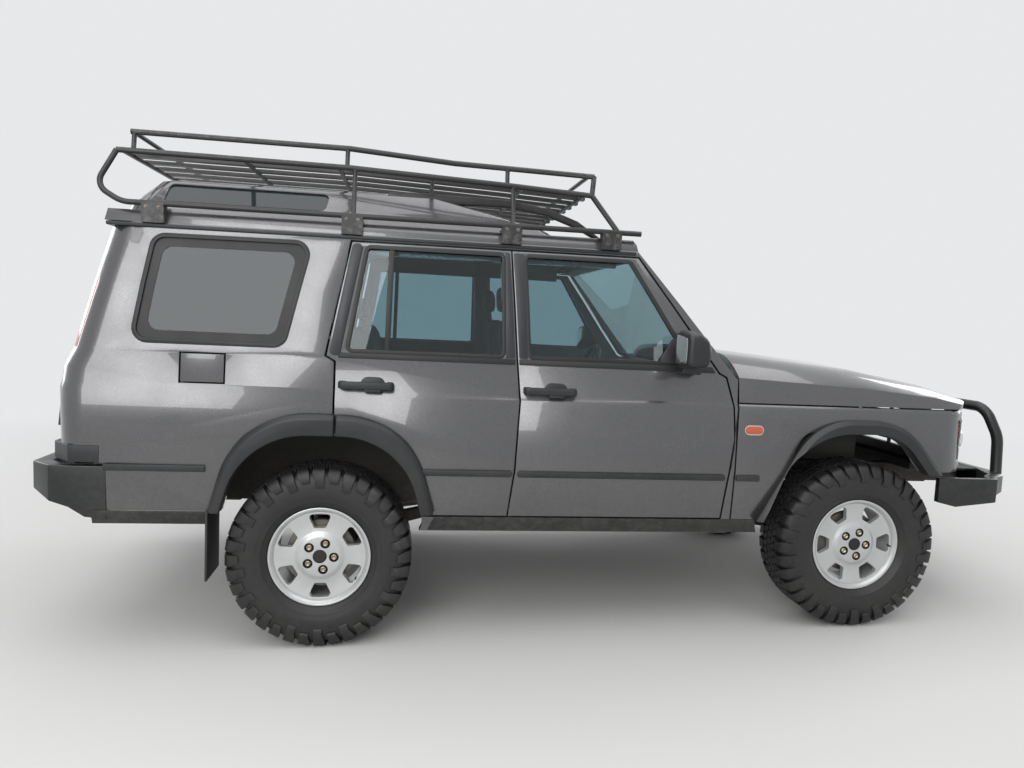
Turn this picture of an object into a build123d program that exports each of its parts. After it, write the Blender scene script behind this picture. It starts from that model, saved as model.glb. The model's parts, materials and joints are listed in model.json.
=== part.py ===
"""A lifted off-road 4x4 estate, built as an assembly of separate pieces.

Lengths are millimetres and angles are degrees. X points forward, Y to the left
and Z up. The body, chassis and axles are drawn level, with x = 0 halfway between
the axles, and are then tipped by RAKE, because the lifted springs stand the real
body slightly nose down. Wheels and steering knuckles are drawn upright. Everything
is moved along X at the end so that the origin lies under the middle of the whole.
"""
from build123d import *
from math import cos, radians, sin
import os

# Stance.
WHEELBASE = 2540
FRONT_TRACK = 1540
REAR_TRACK = 1560
AXLE_HEIGHT = 402
RAKE = 1.4633
CENTRE_SHIFT = 122.6

# Walls and gaps.
SKIN = 16
WALL = 50
WING_WALL = 40
CAP_DEPTH = 20
DOOR_GAP = 8
TAIL_GAP = 9
FLANGE = 15
GLASS_DEPTH = 10
GLASS_THICKNESS = 5

# Body heights.
SILL_BOTTOM = 490
SILL_TOP = 562
CREASE = 1112
BELT = 1280
DOOR_TOP = 1752
CANT_RAIL_TOP = 1785

# Body lengths.
FIREWALL_X = 600
NOSE_X = 1830
NOSE_CORNER = 190
TAIL_CORNER = 130

# Plan of the body, one row for each height.
BODY_PLAN = (
    # height, half width, rear end
    (SILL_BOTTOM, 866, -2350),
    (SILL_TOP, 890, -2356),
    (790, 907, -2365),
    (1085, 900, -2372),
    (CREASE, 887, -2369),
    (1172, 882, -2362),
    (1242, 876, -2328),
    (1530, 838, -2259),
    (CANT_RAIL_TOP, 787, -2199),
)

# Windscreen line and cowl, as x and height.
SCREEN_TOP = (106, CANT_RAIL_TOP)
SCREEN_FOOT = (575, 1235)

# Door and window outlines in side view, as x and height.
FRONT_DOOR = (
    (-457, 567), (-434, 778), (-422, 1094), (-440, 1270), (-477, DOOR_TOP),
    (108, DOOR_TOP), (498, 1240), (533, 1222), (569, 1108), (583, 940), (560, 741), (543, 567),
)
REAR_DOOR = (
    (-464, 567), (-441, 778), (-429, 1094), (-447, 1270), (-484, DOOR_TOP),
    (-1182, DOOR_TOP), (-1272, 1258), (-1232, 1235), (-1228, 700), (-1000, 567),
)
FRONT_WINDOW = ((-419, 1735), (70, 1735), (366, BELT), (-389, BELT))
REAR_WINDOW = ((-1117, 1735), (-515, 1735), (-503, BELT), (-1189, BELT))
QUARTER_WINDOW = ((-1999, 1735), (-1353, 1738), (-1453, 1289), (-2067, 1290))
QUARTER_CORNER = 55
FUEL_FLAP = (-1872, -1686, 1095 + 25, 1250)

# Wheel openings and the flares round them, in side view.
FRONT_ARCH = ((740, 450), (740, 560), (930, 985), (1400, 985), (1565, 790), (1640, 450))
FRONT_FLARE = ((712, 560), (982, 1048), (1425, 1048), (1640, 800))
REAR_ARCH = ((-1720, 450), (-1695, 575), (-1600, 915), (-940, 915), (-848, 575), (-820, 450))
REAR_FLARE = ((-1745, 575), (-1630, 1012), (-905, 1006), (-790, 575))
ARCH_CORNER = 180
FLARE_OUT = 940

# Tail door, as half widths and heights seen from behind.
TAIL_DOOR = ((-640, 850), (640, 850), (640, 1180), (600, 1745), (-600, 1745), (-640, 1180))
TAIL_WINDOW = ((-520, 1290), (520, 1290), (500, 1690), (-500, 1690))

# Wheels and tyres.
TYRE_RADIUS = 402
TYRE_WIDTH = 265
BEAD_RADIUS = 203
FLANGE_RADIUS = 220
RIM_HALF_WIDTH = 96
SPOKES = 6
STEER_AXIS_Y = 690
BALL_RADIUS = 48
CUP_INSIDE = 53
CUP_OUTSIDE = 68

RIGHT = -1
LEFT = 1


def to_body(x, z):
    """Turn a place in the upright frame into the level frame of the body."""
    angle = radians(RAKE)
    return x * cos(angle) - z * sin(angle), x * sin(angle) + z * cos(angle)


FRONT_AXLE = to_body(WHEELBASE / 2, AXLE_HEIGHT)
REAR_AXLE = to_body(-WHEELBASE / 2, AXLE_HEIGHT)


def outline(points, radius=0):
    """Closed face in the XY plane, its corners rounded where a radius is given."""
    if radius:
        return make_face(FilletPolyline(*points, radius=radius, close=True))
    return make_face(Polyline(*points, close=True))


def side_prism(points, y_from, y_to, radius=0):
    """Prism of a side-view outline between two places across the body."""
    low, high = min(y_from, y_to), max(y_from, y_to)
    plane = Plane((0, high, 0), x_dir=(1, 0, 0), z_dir=(0, -1, 0))
    return extrude(plane * outline(points, radius), high - low)


def end_prism(points, x_from, x_to, radius=0):
    """Prism of an outline seen from the end, as places across and heights."""
    plane = Plane((x_from, 0, 0), x_dir=(0, 1, 0), z_dir=(1, 0, 0))
    return extrude(plane * outline(points, radius), x_to - x_from)


def plan_prism(points, z_from, z_to, radius=0):
    """Prism of an outline seen from above."""
    return extrude(Pos(0, 0, z_from) * outline(points, radius), z_to - z_from)


def block(x_range, y_range, z_range):
    """Box between three pairs of places."""
    lows = [min(pair) for pair in (x_range, y_range, z_range)]
    highs = [max(pair) for pair in (x_range, y_range, z_range)]
    size = [high - low for low, high in zip(lows, highs)]
    corner = Box(*size, align=(Align.MIN, Align.MIN, Align.MIN))
    return Pos(*lows) * corner


def rod(start, end, radius):
    """Round bar between two points."""
    line = Vector(*end) - Vector(*start)
    plane = Plane(origin=start, z_dir=line)
    return plane * Cylinder(radius, line.length, align=(Align.CENTER, Align.CENTER, Align.MIN))


def bar_path(points, radius, bends):
    """Round bar along a run of points, bent at each inner point to its radius."""
    path = FilletPolyline(*points, radius=bends)
    start = Plane(origin=path @ 0, z_dir=path % 0)
    return sweep(start * Circle(radius), path=path)


def fuse(*shapes):
    """One shape of several that touch or cross."""
    solids = [solid for shape in shapes for solid in shape.solids()]
    return Compound((solids[0] + solids[1:]).solids()) if len(solids) > 1 else solids[0]


def both_sides(shape):
    """The shape and its mirror image across the body."""
    return fuse(shape, mirrored(shape))


def mirrored(shape):
    """Mirror image across the body."""
    return mirror(shape, Plane.XZ)


def plan_face(rear, front, half, rear_corner, front_corner, height):
    """Plan of the body at one height, with its rear and front corners rounded."""
    edges = []
    corners = []
    for x, side, radius in ((rear, -1, rear_corner), (front, -1, front_corner),
                            (front, 1, front_corner), (rear, 1, rear_corner)):
        inward = 1 if x == rear else -1
        centre = (x + inward * radius, side * (half - radius))
        on_side = (centre[0], side * half)
        on_end = (x, centre[1])
        middle = (centre[0] - inward * radius * cos(radians(45)),
                  centre[1] + side * radius * sin(radians(45)))
        entry, leave = (on_end, on_side) if inward == -side else (on_side, on_end)
        corners.append((entry, middle, leave))
    for here, after in zip(corners, corners[1:] + corners[:1]):
        edges.append(ThreePointArc(*here).edge())
        edges.append(Line(here[2], after[0]).edge())
    return Pos(0, 0, height) * make_face(edges)


def body_solid(inset=0, front=NOSE_X, front_corner=NOSE_CORNER):
    """The closed body below the roof, each face moved in by the inset."""
    faces = [
        plan_face(rear + inset, front - inset, half - inset, TAIL_CORNER - inset,
                  front_corner - inset, height)
        for height, half, rear in BODY_PLAN
    ]
    return loft(faces, ruled=True)


def screen_profile(inset=0):
    """Everything behind the windscreen and the cowl, as one wide prism."""
    x_top, z_top = SCREEN_TOP
    x_foot, z_foot = SCREEN_FOOT
    points = ((-2600, 400), (FIREWALL_X - 7 - inset, 400), (FIREWALL_X - 7 - inset, z_foot - 20),
              (x_foot - inset, z_foot), (x_top - inset, z_top), (x_top - inset, z_top + 20),
              (-2600, z_top + 20))
    return side_prism(points, -1000, 1000)


def grown(points, amount):
    """Outline moved out by an amount, or in by a negative one."""
    face = make_face(Polyline(*points, close=True))
    return offset(face, amount, kind=Kind.INTERSECTION)


def grown_prism(points, amount, y_from, y_to):
    """Side prism of an outline moved out or in."""
    low, high = min(y_from, y_to), max(y_from, y_to)
    plane = Plane((0, high, 0), x_dir=(1, 0, 0), z_dir=(0, -1, 0))
    return extrude(plane * grown(points, amount), high - low)


class BodyShells:
    """Solids that several panels are cut from, made once."""

    def __init__(self):
        self.outer = body_solid(0)
        self.skin_inside = body_solid(SKIN)
        self.wall_inside = body_solid(WALL)
        self.wing_inside = body_solid(WING_WALL)
        behind = screen_profile()
        self.cabin = (self.outer & behind) - (self.wall_inside & screen_profile(WALL))
        self.skin = self.outer - self.skin_inside
        self.lining = self.skin_inside - self.wall_inside
        self.glass_layer = body_solid(GLASS_DEPTH) - body_solid(GLASS_DEPTH + GLASS_THICKNESS)


def front_arch_prism(y_from, y_to):
    """Front wheel opening through the wing."""
    return side_prism(FRONT_ARCH, y_from, y_to, ARCH_CORNER * 0.45)


def rear_arch_prism(y_from, y_to):
    """Rear wheel opening through the body side and the rear door."""
    return side_prism(REAR_ARCH, y_from, y_to, ARCH_CORNER * 0.45)


def window_prism(points, radius, reach=1000):
    """Cutter for a side window, on the right of the body."""
    return side_prism(points, -reach, -500, radius)


def body_side(shells):
    """Right body side: quarter, pillars, sill and the corner beside the tail door."""
    side = shells.cabin & block((-2600, FIREWALL_X - 7), (-1000, 0), (SILL_BOTTOM, CANT_RAIL_TOP))
    side -= block((-400, 700), (-650, 10), (400, 1800))
    side -= tail_opening()
    side -= grown_prism(FRONT_DOOR, DOOR_GAP, -1000, -600)
    side -= grown_prism(REAR_DOOR, DOOR_GAP, -1000, -600)
    side -= window_prism(QUARTER_WINDOW, QUARTER_CORNER)
    side -= rear_arch_prism(-1000, -600)
    side -= block((-2600, -1600), (-1000, -600), (400, 575))
    side -= block((-2600, -2152), (-1000, 10), (400, 778))
    side -= block((-2600, -2177), (-1000, -645), (400, 850)) - body_solid(CAP_DEPTH)
    side -= fuel_flap_recess()
    side -= tail_lamp_prism()
    side -= windscreen_opening()
    side -= block((500, 700), (-820, -600), (400, 1232))
    frame = body_solid(WALL + 12) - body_solid(WALL + 57)
    pillar = frame & side_prism(((-488, 655), (-478, 1094), (-520, 1710), (-440, 1710), (-385, 1094),
                                 (-398, 655)), -850, -600)
    hinge_post = frame & block((500, 590), (-850, -700), (655, 1232))
    rail = frame & block((-1180, 18), (-800, -600), (1705, CANT_RAIL_TOP))
    rail_top = (body_solid(2) - body_solid(WALL + 57)) & block((-1180, 18), (-800, -600),
                                                              (DOOR_TOP + DOOR_GAP, CANT_RAIL_TOP))
    sill_inside = block((-830, 540), (-845, -790), (SILL_BOTTOM, 640)) & body_solid(WALL + 12)
    sill_floor = block((-830, 540), (-845, -790), (SILL_BOTTOM, 555)) & body_solid(5)
    return fuse(side, pillar, hinge_post, rail, rail_top, sill_inside, sill_floor)


def tail_opening():
    """Opening for the tail door through the rear wall."""
    plane = Plane((-2600, 0, 0), x_dir=(0, 1, 0), z_dir=(1, 0, 0))
    return extrude(plane * grown(TAIL_DOOR, TAIL_GAP), 500)


def windscreen_opening():
    """Opening between the windscreen pillars."""
    x_top, z_top = SCREEN_TOP
    x_foot, z_foot = SCREEN_FOOT
    slab = side_prism(((x_foot - 120, z_foot + 25), (x_foot + 80, z_foot + 25), (x_top + 80, z_top + 30),
                       (x_top - 120, z_top + 30)), -1000, 1000)
    return slab & body_solid(85)


def fuel_flap_recess():
    """Opening for the fuel flap in the right quarter."""
    x_rear, x_front, z_low, z_high = FUEL_FLAP
    return block((x_rear, x_front), (-1000, -848), (z_low, z_high))


def tail_lamp_prism(inset=0):
    """Slot for a tail lamp in the right rear corner."""
    points = ((-835 + inset, 1252 + inset), (-695 - inset, 1252 + inset),
              (-675 - inset, 1548 - inset), (-800 + inset, 1548 - inset))
    return end_prism(points, -2600, -2150)


def side_door(shells, points, window):
    """Right side door: a skin over a smaller inner wall, with its window cut."""
    skin = shells.skin & grown_prism(points, 0, -1000, -600)
    wall = shells.lining & grown_prism(points, -FLANGE, -1000, -600)
    door = fuse(skin, wall)
    door -= window_prism(window, 22)
    return door


def front_door(shells):
    """Right front door."""
    return side_door(shells, FRONT_DOOR, FRONT_WINDOW)


def rear_door(shells):
    """Right rear door, cut by the wheel opening."""
    return side_door(shells, REAR_DOOR, REAR_WINDOW) - rear_arch_prism(-1000, -600)


def pane(shells, window, radius):
    """Glass of a right side window."""
    return shells.glass_layer & window_prism(window, radius)


def tail_door(shells):
    """Tail door, a skin over a smaller inner wall."""
    skin = shells.skin & end_prism(TAIL_DOOR, -2600, -2150)
    inner_face = grown(TAIL_DOOR, -FLANGE)
    plane = Plane((-2600, 0, 0), x_dir=(0, 1, 0), z_dir=(1, 0, 0))
    wall = shells.lining & extrude(plane * inner_face, 450)
    door = fuse(skin, wall)
    return door - end_prism(TAIL_WINDOW, -2600, -2150, 60)


def tail_glass(shells):
    """Glass of the tail door."""
    return shells.glass_layer & end_prism(TAIL_WINDOW, -2600, -2150, 60)


def wing(shells):
    """Right front wing, round the wheel opening."""
    shell = shells.outer - shells.wing_inside
    piece = shell & block((FIREWALL_X, NOSE_X), (-1000, -560), (SILL_TOP, CREASE - 7))
    piece -= front_arch_prism(-1000, -400)
    piece -= block((1500, 1900), (-1000, -400), (400, 806))
    piece -= block((1744, 1900), (-1000, -400), (861, 1061))
    piece -= block((1790, 1900), (-700, -400), (400, 1200))
    return piece


def headlamp(shells):
    """Right headlamp, wrapped round the corner of the nose."""
    shell = shells.outer - body_solid(80)
    return shell & block((1746, NOSE_X), (-1000, -562), (863, 1059))


def front_panel():
    """Panel between the wings that carries the grille and closes the nose."""
    face = block((1790, NOSE_X - 2), (-558, 558), (800, 1100))
    opening = block((1700, 1900), (-520, 520), (850, 1070))
    bars = [block((1800, 1822), (-520, 520), (z, z + 16)) for z in range(872, 1060, 36)]
    posts = [block((1798, 1815), (y - 6, y + 6), (850, 1070)) for y in (-260, 0, 260)]
    support = block((1700, 1795), (-600, 600), (760, 800))
    return fuse(face - opening, *bars, *posts, support)


BONNET_SECTIONS = (
    # x, height at the shoulder, height over the wing, height in the middle
    (FIREWALL_X + 2, 1227, 1330, 1348),
    (1255, 1195, 1278, 1296),
    (1620, 1161, 1214, 1230),
    (NOSE_X, 1122, 1148, 1158),
)


def bonnet_solid(inset=0):
    """Closed form of the bonnet, its faces moved in by the inset."""
    faces = []
    for x, shoulder, over, middle in BONNET_SECTIONS:
        x_here = x
        if x == NOSE_X:
            x_here = x - inset
        low, half, turn, flat = CREASE - inset, 888 - inset, 866 - inset, 610 - inset
        shoulder -= inset
        over -= inset
        middle -= inset
        knee = ((turn + flat) / 2 + 12, (shoulder + over) / 2 + 18)
        right = [
            Line((-half, low), (-turn, shoulder)),
            ThreePointArc((-turn, shoulder), (-knee[0], knee[1]), (-flat, over)),
        ]
        top = [ThreePointArc((-flat, over), (0, middle), (flat, over))]
        left = [
            ThreePointArc((flat, over), (knee[0], knee[1]), (turn, shoulder)),
            Line((turn, shoulder), (half, low)),
        ]
        base = [Line((half, low), (-half, low))]
        edges = [item.edge() for item in right + top + left + base]
        plane = Plane((x_here, 0, 0), x_dir=(0, 1, 0), z_dir=(1, 0, 0))
        faces.append(plane * make_face(edges))
    return loft(faces, ruled=True)


def bonnet():
    """Bonnet that reaches down both sides to the crease."""
    thickness = 28
    plan = plan_face(0, NOSE_X, 905, 10, NOSE_CORNER, 1000)
    corners = extrude(plan, 500)
    plan_inside = plan_face(0, NOSE_X - thickness, 905 - thickness, 10, NOSE_CORNER - thickness, 1000)
    corners_inside = extrude(plan_inside, 500)
    return (bonnet_solid() & corners) - (bonnet_solid(thickness) & corners_inside)


def roof_low(inset=0):
    """Low roof over the whole cabin."""
    half_foot, half_top = 787 - inset, 770 - inset
    edges = [
        Line((-half_foot, CANT_RAIL_TOP), (-half_top, 1835 - inset)),
        ThreePointArc((-half_top, 1835 - inset), (0, 1878 - inset), (half_top, 1835 - inset)),
        Line((half_top, 1835 - inset), (half_foot, CANT_RAIL_TOP)),
        Line((half_foot, CANT_RAIL_TOP), (-half_foot, CANT_RAIL_TOP)),
    ]
    plane = Plane((-2300, 0, 0), x_dir=(0, 1, 0), z_dir=(1, 0, 0))
    hoop = extrude(plane * make_face([edge.edge() for edge in edges]), 2500)
    profile = ((-2199 + inset, CANT_RAIL_TOP), (-2192 + inset, 1835), (-2150 + inset, 1880),
               (20 - inset, 1880), (70 - inset, 1850), (100 - inset, 1815), (106 - inset, CANT_RAIL_TOP))
    return hoop & side_prism(profile, -900, 900)


def roof_raised(inset=0):
    """Raised rear roof with its long front slope."""
    rows = (
        # height, rear end, front end, half width
        (1800, -2150, -200, 746),
        (1868, -2125, -330, 738),
        (1980, -2032, -760, 650),
        (1998, -1985, -850, 590),
    )
    faces = []
    for height, rear, front, half in rows:
        level = height - (inset if height > 1900 else 0)
        faces.append(plan_face(rear + inset, front - inset, half - inset, 70, 70, level))
    return loft(faces, ruled=True)


ALPINE_WINDOW = ((-1985, 1872), (-1308, 1884), (-1293, 1966), (-1975, 1968))


def roof():
    """Roof skin with the raised rear part and its two side lights."""
    wall = 24
    outer = fuse(roof_low(), roof_raised())
    inner = fuse(roof_low(wall), roof_raised(wall))
    inner += roof_low(wall) & block((-2300, 200), (-900, 900), (CANT_RAIL_TOP - 1, 1800))
    shell = outer - inner
    for side in (RIGHT, LEFT):
        shell -= side_prism(ALPINE_WINDOW, side * 500, side * 900, 25)
    header = side_prism(((20, 1750), (135, 1750), (106, CANT_RAIL_TOP), (106, 1788), (20, 1788)), -700, 700)
    return fuse(shell, header)


def alpine_glass():
    """Two side lights of the raised roof."""
    layer = roof_raised(6) - roof_raised(11)
    right = layer & side_prism(ALPINE_WINDOW, -900, -500, 25)
    return both_sides(right)


def windscreen():
    """Windscreen glass between the pillars."""
    x_top, z_top = SCREEN_TOP
    x_foot, z_foot = SCREEN_FOOT
    low, high = z_foot + 25, 1750
    slope = (x_top - x_foot) / (z_top - z_foot)
    x_low, x_high = x_foot + slope * (low - z_foot), x_foot + slope * (high - z_foot)
    slab = side_prism(((x_low - 16, low), (x_low - 8, low), (x_high - 8, high), (x_high - 16, high)), -1000, 1000)
    return slab & body_solid(85)


def floor_pan():
    """Floor, bulkhead and rear wheel housings."""
    floor = block((-830, 545), (-838, 838), (640, 655))
    bulkhead = block((525, 545), (-838, 838), (655, 1232)) & body_solid(WALL + 57)
    cowl = block((525, 590), (-838, 838), (1217, 1232)) & body_solid(WALL + 57)
    riser = block((-845, -815), (-600, 600), (655, 795))
    rear_floor = block((-2330, -830), (-600, 600), (780, 795))
    tail_floor = block((-2330, -1745), (-838, 838), (780, 795))
    house = block((-1745, -830), (-838, -600), (562, 945)) - block((-1730, -845), (-900, -615), (480, 930))
    pan = fuse(floor, bulkhead, cowl, riser, rear_floor, tail_floor, both_sides(house))
    return pan & body_solid(WALL)


RAIL_TOP = ((-2290, 780), (-1050, 780), (-830, 640), (620, 640), (850, 760), (1930, 760))
RAIL_BOTTOM = ((1930, 660), (880, 660), (650, 540), (-860, 540), (-1080, 680), (-2290, 680))
RAIL_INSIDE = 345
RAIL_OUTSIDE = 420


def chassis():
    """Two rails that rise over both axles, with crossmembers and outriggers."""
    rail = side_prism(RAIL_TOP + RAIL_BOTTOM, -RAIL_OUTSIDE, -RAIL_INSIDE)
    pieces = [both_sides(rail)]
    for x, low, high in ((-2265, 690, 770), (-1650, 700, 760), (-620, 550, 630), (130, 550, 600),
                         (900, 668, 700), (1880, 670, 750)):
        pieces.append(block((x - 30, x + 30), (-RAIL_INSIDE, RAIL_INSIDE), (low, high)))
    for x in (-640, 330):
        pieces.append(both_sides(block((x - 35, x + 35), (-790, -RAIL_OUTSIDE), (590, 640))))
    for x in (-2060,):
        pieces.append(both_sides(block((x - 35, x + 35), (-800, -RAIL_OUTSIDE), (730, 780))))
    return fuse(*pieces)


def front_bumper():
    """Steel front bumper with swept ends and a tube hoop."""
    plan = ((2190, -600), (2100, -770), (1990, -850), (1955, -905), (1645, -905), (1645, -875),
            (1925, -875), (1950, -820), (2050, -730), (2120, -570))
    ring = plan + tuple((x, -y) for x, y in reversed(plan))
    beam = plan_prism(ring, 600, 800)
    profile = ((1640, 777), (1975, 777), (2190, 762), (2195, 690), (2037, 680), (1946, 660),
               (1741, 637), (1640, 660))
    beam &= side_prism(profile, -1000, 1000)
    deck = plan_prism(((2130, -560), (2130, 560), (1930, 560), (1930, -560)), 755, 765)
    hoop = bar_path(((2170, -640, 755), (2160, -640, 950), (2106, -600, 1100), (2106, 600, 1100),
                     (2160, 640, 950), (2170, 640, 755)), 27, (200, 80, 80, 200))
    irons = both_sides(block((1930, 2125), (-415, -350), (665, 755)))
    return fuse(beam, deck, hoop, irons)


def rear_bumper():
    """Steel rear bumper that wraps round both corners."""
    plan = ((-2154, -890), (-2380, -890), (-2478, -800), (-2478, 800), (-2380, 890), (-2154, 890),
            (-2154, 840), (-2350, 840), (-2410, 770), (-2410, -770), (-2350, -840), (-2154, -840))
    beam = plan_prism(plan, 500, 800)
    profile = ((-2150, 762), (-2480, 762), (-2480, 645), (-2305, 585), (-2242, 544), (-2150, 533))
    beam &= side_prism(profile, -1000, 1000)
    irons = both_sides(block((-2415, -2290), (-415, -350), (690, 760)))
    return fuse(beam, irons)


def flare(points, inner, depth_from=870):
    """Wheel arch flare on the right side."""
    ring = side_prism(points + ((points[-1][0] + 5, 450), (points[0][0] - 5, 450)), -FLARE_OUT, -depth_from, 60)
    ring &= block((-3000, 3000), (-1000, 0), (576, 1200))
    return ring - side_prism(inner, -1000, -800, ARCH_CORNER * 0.45)


def front_flare(shells):
    """Right front flare outside the wing."""
    return flare(FRONT_FLARE, FRONT_ARCH) - shells.outer - block((1500, 1700), (-1000, -800), (500, 795))


def rear_flare(shells):
    """Right rear flare, whole."""
    return flare(REAR_FLARE, REAR_ARCH) - shells.outer


def wheel_flares(shells):
    """Flares of the wings and of the rear quarters, up to the rear doors."""
    rear = rear_flare(shells) - grown_prism(REAR_DOOR, DOOR_GAP, -1000, -600)
    rear -= block((-1228, -700), (-1000, -600), (400, 1200))
    return both_sides(fuse(rear, front_flare(shells)))


def body_trim(shells):
    """Rub strips, gutters, corner caps and mud flaps that stay with the body."""
    strip = side_prism(((-2160, 748), (-1755, 748), (-1755, 775), (-2160, 775)), -917, -895) - shells.outer
    wing_strip = block((FIREWALL_X + 2, 716), (-917, -895), (748, 775)) - shells.outer
    gutter = block((-2190, 95), (-800, -700), (1765, 1780)) - shells.outer
    cap_plan = ((-2177, -905), (-2300, -900), (-2392, -800), (-2392, -645), (-2177, -645))
    cap = plan_prism(cap_plan, 778, 850) - body_solid(CAP_DEPTH)
    flap = block((-1755, -1745), (-905, -690), (270, 575))
    return both_sides(fuse(strip, wing_strip, gutter, cap, flap))


RACK_TUBE = 12
RACK_BAR = 10
MID_RAIL = ((-2161, 2079), (-1194, 2072), (-488, 2044), (-119, 2025))
TOP_RAIL = ((-2109, 2160), (-1205, 2157), (-748, 2127), (-110, 2113))
SLAT_HEIGHT = 15


def rack():
    """Floor of the roof rack with its side frames, on clamps along the gutter."""
    low = bar_path([(110, -800, 1862), (-2130, -800, 1862), (-2235, -790, 1925), (-2161, -760, 2079)], RACK_TUBE,
                   (120, 60))
    mid = bar_path([(x, -760, z) for x, z in MID_RAIL], RACK_TUBE, 300)
    pieces = [low, mid, rod((-119, -760, 2025), (3, -800, 1862), RACK_TUBE)]
    for x, z in ((-1180, 2071), (-482, 2043)):
        pieces.append(rod((x, -800, 1862), (x, -760, z), RACK_BAR))
    for x in (-2003, -1184, -484, -26):
        clamp = block((x - 45, x + 45), (-812, -760), (1782, 1865)) - roof_low()
        pieces.append(clamp - block((-2300, 200), (-789, -700), (1700, 1786)))
    side = fuse(*pieces)
    across = [rod((x, -760, z), (x, 760, z), RACK_BAR)
              for x, z in ((-2140, 2079), (-1650, 2075), (-1250, 2072), (-840, 2058), (-440, 2041), (-150, 2027))]
    slats = []
    for y in range(-600, 601, 150):
        slat = MID_RAIL + tuple((x, z + SLAT_HEIGHT) for x, z in reversed(MID_RAIL))
        slats.append(side_prism(slat, y - 22, y + 22))
    return fuse(side, mirrored(side), *across, *slats)


def rack_guard():
    """Upper rails of the rack with their posts and end bars."""
    top = bar_path([(x, -745, z) for x, z in TOP_RAIL], RACK_TUBE, 300)
    leg = rod((-110, -745, 2113), (-119, -760, 2025), RACK_TUBE)
    posts = [rod((x, -760, z_low), (x, -745, z_high), RACK_BAR)
             for x, z_low, z_high in ((-1215, 2072, 2156), (-510, 2045, 2122), (-2095, 2079, 2159))]
    side = fuse(top, leg, *posts)
    across = [rod((x, -745, z), (x, 745, z), RACK_BAR) for x, z in ((-2100, 2160), (-135, 2114))]
    return fuse(side, mirrored(side), *across)


def seat(y, x_front, base):
    """Single seat with its back and headrest."""
    cushion = block((x_front - 500, x_front), (y - 250, y + 250), (base, base + 180))
    back = side_prism(((x_front - 520, base + 120), (x_front - 400, base + 120), (x_front - 530, base + 720),
                       (x_front - 620, base + 720)), y - 240, y + 240)
    rest = block((x_front - 640, x_front - 560), (y - 130, y + 130), (base + 700, base + 880))
    return fuse(cushion, back, rest)


def seats():
    """Two front seats and a rear bench."""
    front_right = seat(-370, 150, 750)
    front_left = seat(370, 150, 750)
    bench = fuse(block((-1080, -620), (-590, 590), (795, 950)),
                 side_prism(((-1130, 900), (-1010, 900), (-1120, 1400), (-1220, 1400)), -590, 590))
    feet = [block((-300, 100), (y - 180, y + 180), (655, 750)) for y in (-370, 370)]
    bench_foot = block((-815, -640), (-560, 560), (655, 795))
    return fuse(front_right, feet[0], front_left, feet[1], bench, bench_foot)


def dashboard():
    """Dashboard with its steering wheel on the left."""
    body = side_prism(((300, 1000), (525, 950), (525, 1217), (420, 1225), (300, 1180)), -770, 770)
    column = rod((330, 370, 1080), (180, 370, 1130), 30)
    ring_plane = Plane(origin=(170, 370, 1133), z_dir=(-150, 0, 50))
    ring = ring_plane * Torus(185, 14)
    spokes = ring_plane * fuse(Box(360, 30, 16), Cylinder(50, 24))
    return fuse(body, column, ring, spokes)


def powertrain():
    """Engine, gearbox and transfer case as plain blocks."""
    engine = block((800, 1560), (-330, 330), (705, 1120))
    gearbox = block((130, 800), (-160, 160), (600 + 60, 900)) - block((-1000, 545), (-1000, 1000), (640, 1200))
    low = block((-100, 545), (-150, 200), (430, 640)) - block((100, 160), (-345, 345), (540, 605))
    return fuse(engine, gearbox, low)


def exhaust():
    """Exhaust pipe and silencer."""
    pipe = bar_path(((-95, 180, 500), (-400, 230, 455), (-570, 260, 455)), 25, 60)
    silencer = rod((-560, 260, 455), (-1000, 260, 455), 80)
    hanger = block((-630, -610), (250, 270), (520, 550))
    return fuse(pipe, silencer, hanger) - powertrain()


def fuel_tank():
    """Fuel tank between the rails at the rear."""
    return block((-2200, -1720), (-330, 330), (480, 690))


def front_axle():
    """Front axle beam, differential, steering balls and radius arms."""
    x, z = FRONT_AXLE
    beam = rod((x, -632, z), (x, 632, z), 42)
    neck = rod((x, -STEER_AXIS_Y, z), (x, STEER_AXIS_Y, z), 28)
    pumpkin = Pos(x, -160, z) * Sphere(135)
    nose = rod((x, -160, z), (x - 200, -160, z + 20), 55)
    balls = both_sides(Pos(x, -STEER_AXIS_Y, z) * Sphere(BALL_RADIUS))
    arm = side_prism(((x + 90, z - 60), (x + 90, z + 30), (x - 120, z + 30), (x - 860, 535), (x - 880, 495),
                      (x - 120, z - 60)), -405, -365)
    hanger = block((x - 895, x - 845), (-410, -355), (495, 540))
    return fuse(beam, neck, pumpkin, nose, balls, both_sides(arm), both_sides(hanger))


def rear_axle():
    """Rear axle beam, differential and trailing links."""
    x, z = REAR_AXLE
    reach = REAR_TRACK / 2 - 40
    beam = rod((x, -reach, z), (x, reach, z), 45)
    pumpkin = Pos(x, 0, z) * Sphere(145)
    nose = rod((x, 0, z), (x + 210, 0, z + 20), 55)
    link = side_prism(((x - 40, z - 55), (x - 40, z + 20), (x + 40, z + 20), (x + 700, 535), (x + 720, 495),
                       (x + 40, z - 55)), -410, -370)
    hanger = block((x + 660, x + 720), (-415, -360), (495, 540))
    return fuse(beam, pumpkin, nose, both_sides(link), both_sides(hanger))


def suspension():
    """Coil springs and dampers at the four corners."""
    pieces = []
    for (x, z), y, top in ((FRONT_AXLE, 500, 700), (REAR_AXLE, 500, 720)):
        spring = rod((x, -y, z + 44), (x, -y, top), 58)
        damper = rod((x - 95, -y, z + 30), (x - 95, -y, top + 60), 24)
        turret = block((x - 125, x + 60), (-y - 40, -RAIL_OUTSIDE), (top, top + 20))
        seat_plate = block((x - 120, x + 60), (-y - 40, -y + 55), (z + 34, z + 46))
        pieces.append(both_sides(fuse(spring, damper, turret, seat_plate)))
    return fuse(*pieces) - front_axle() - rear_axle()


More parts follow.
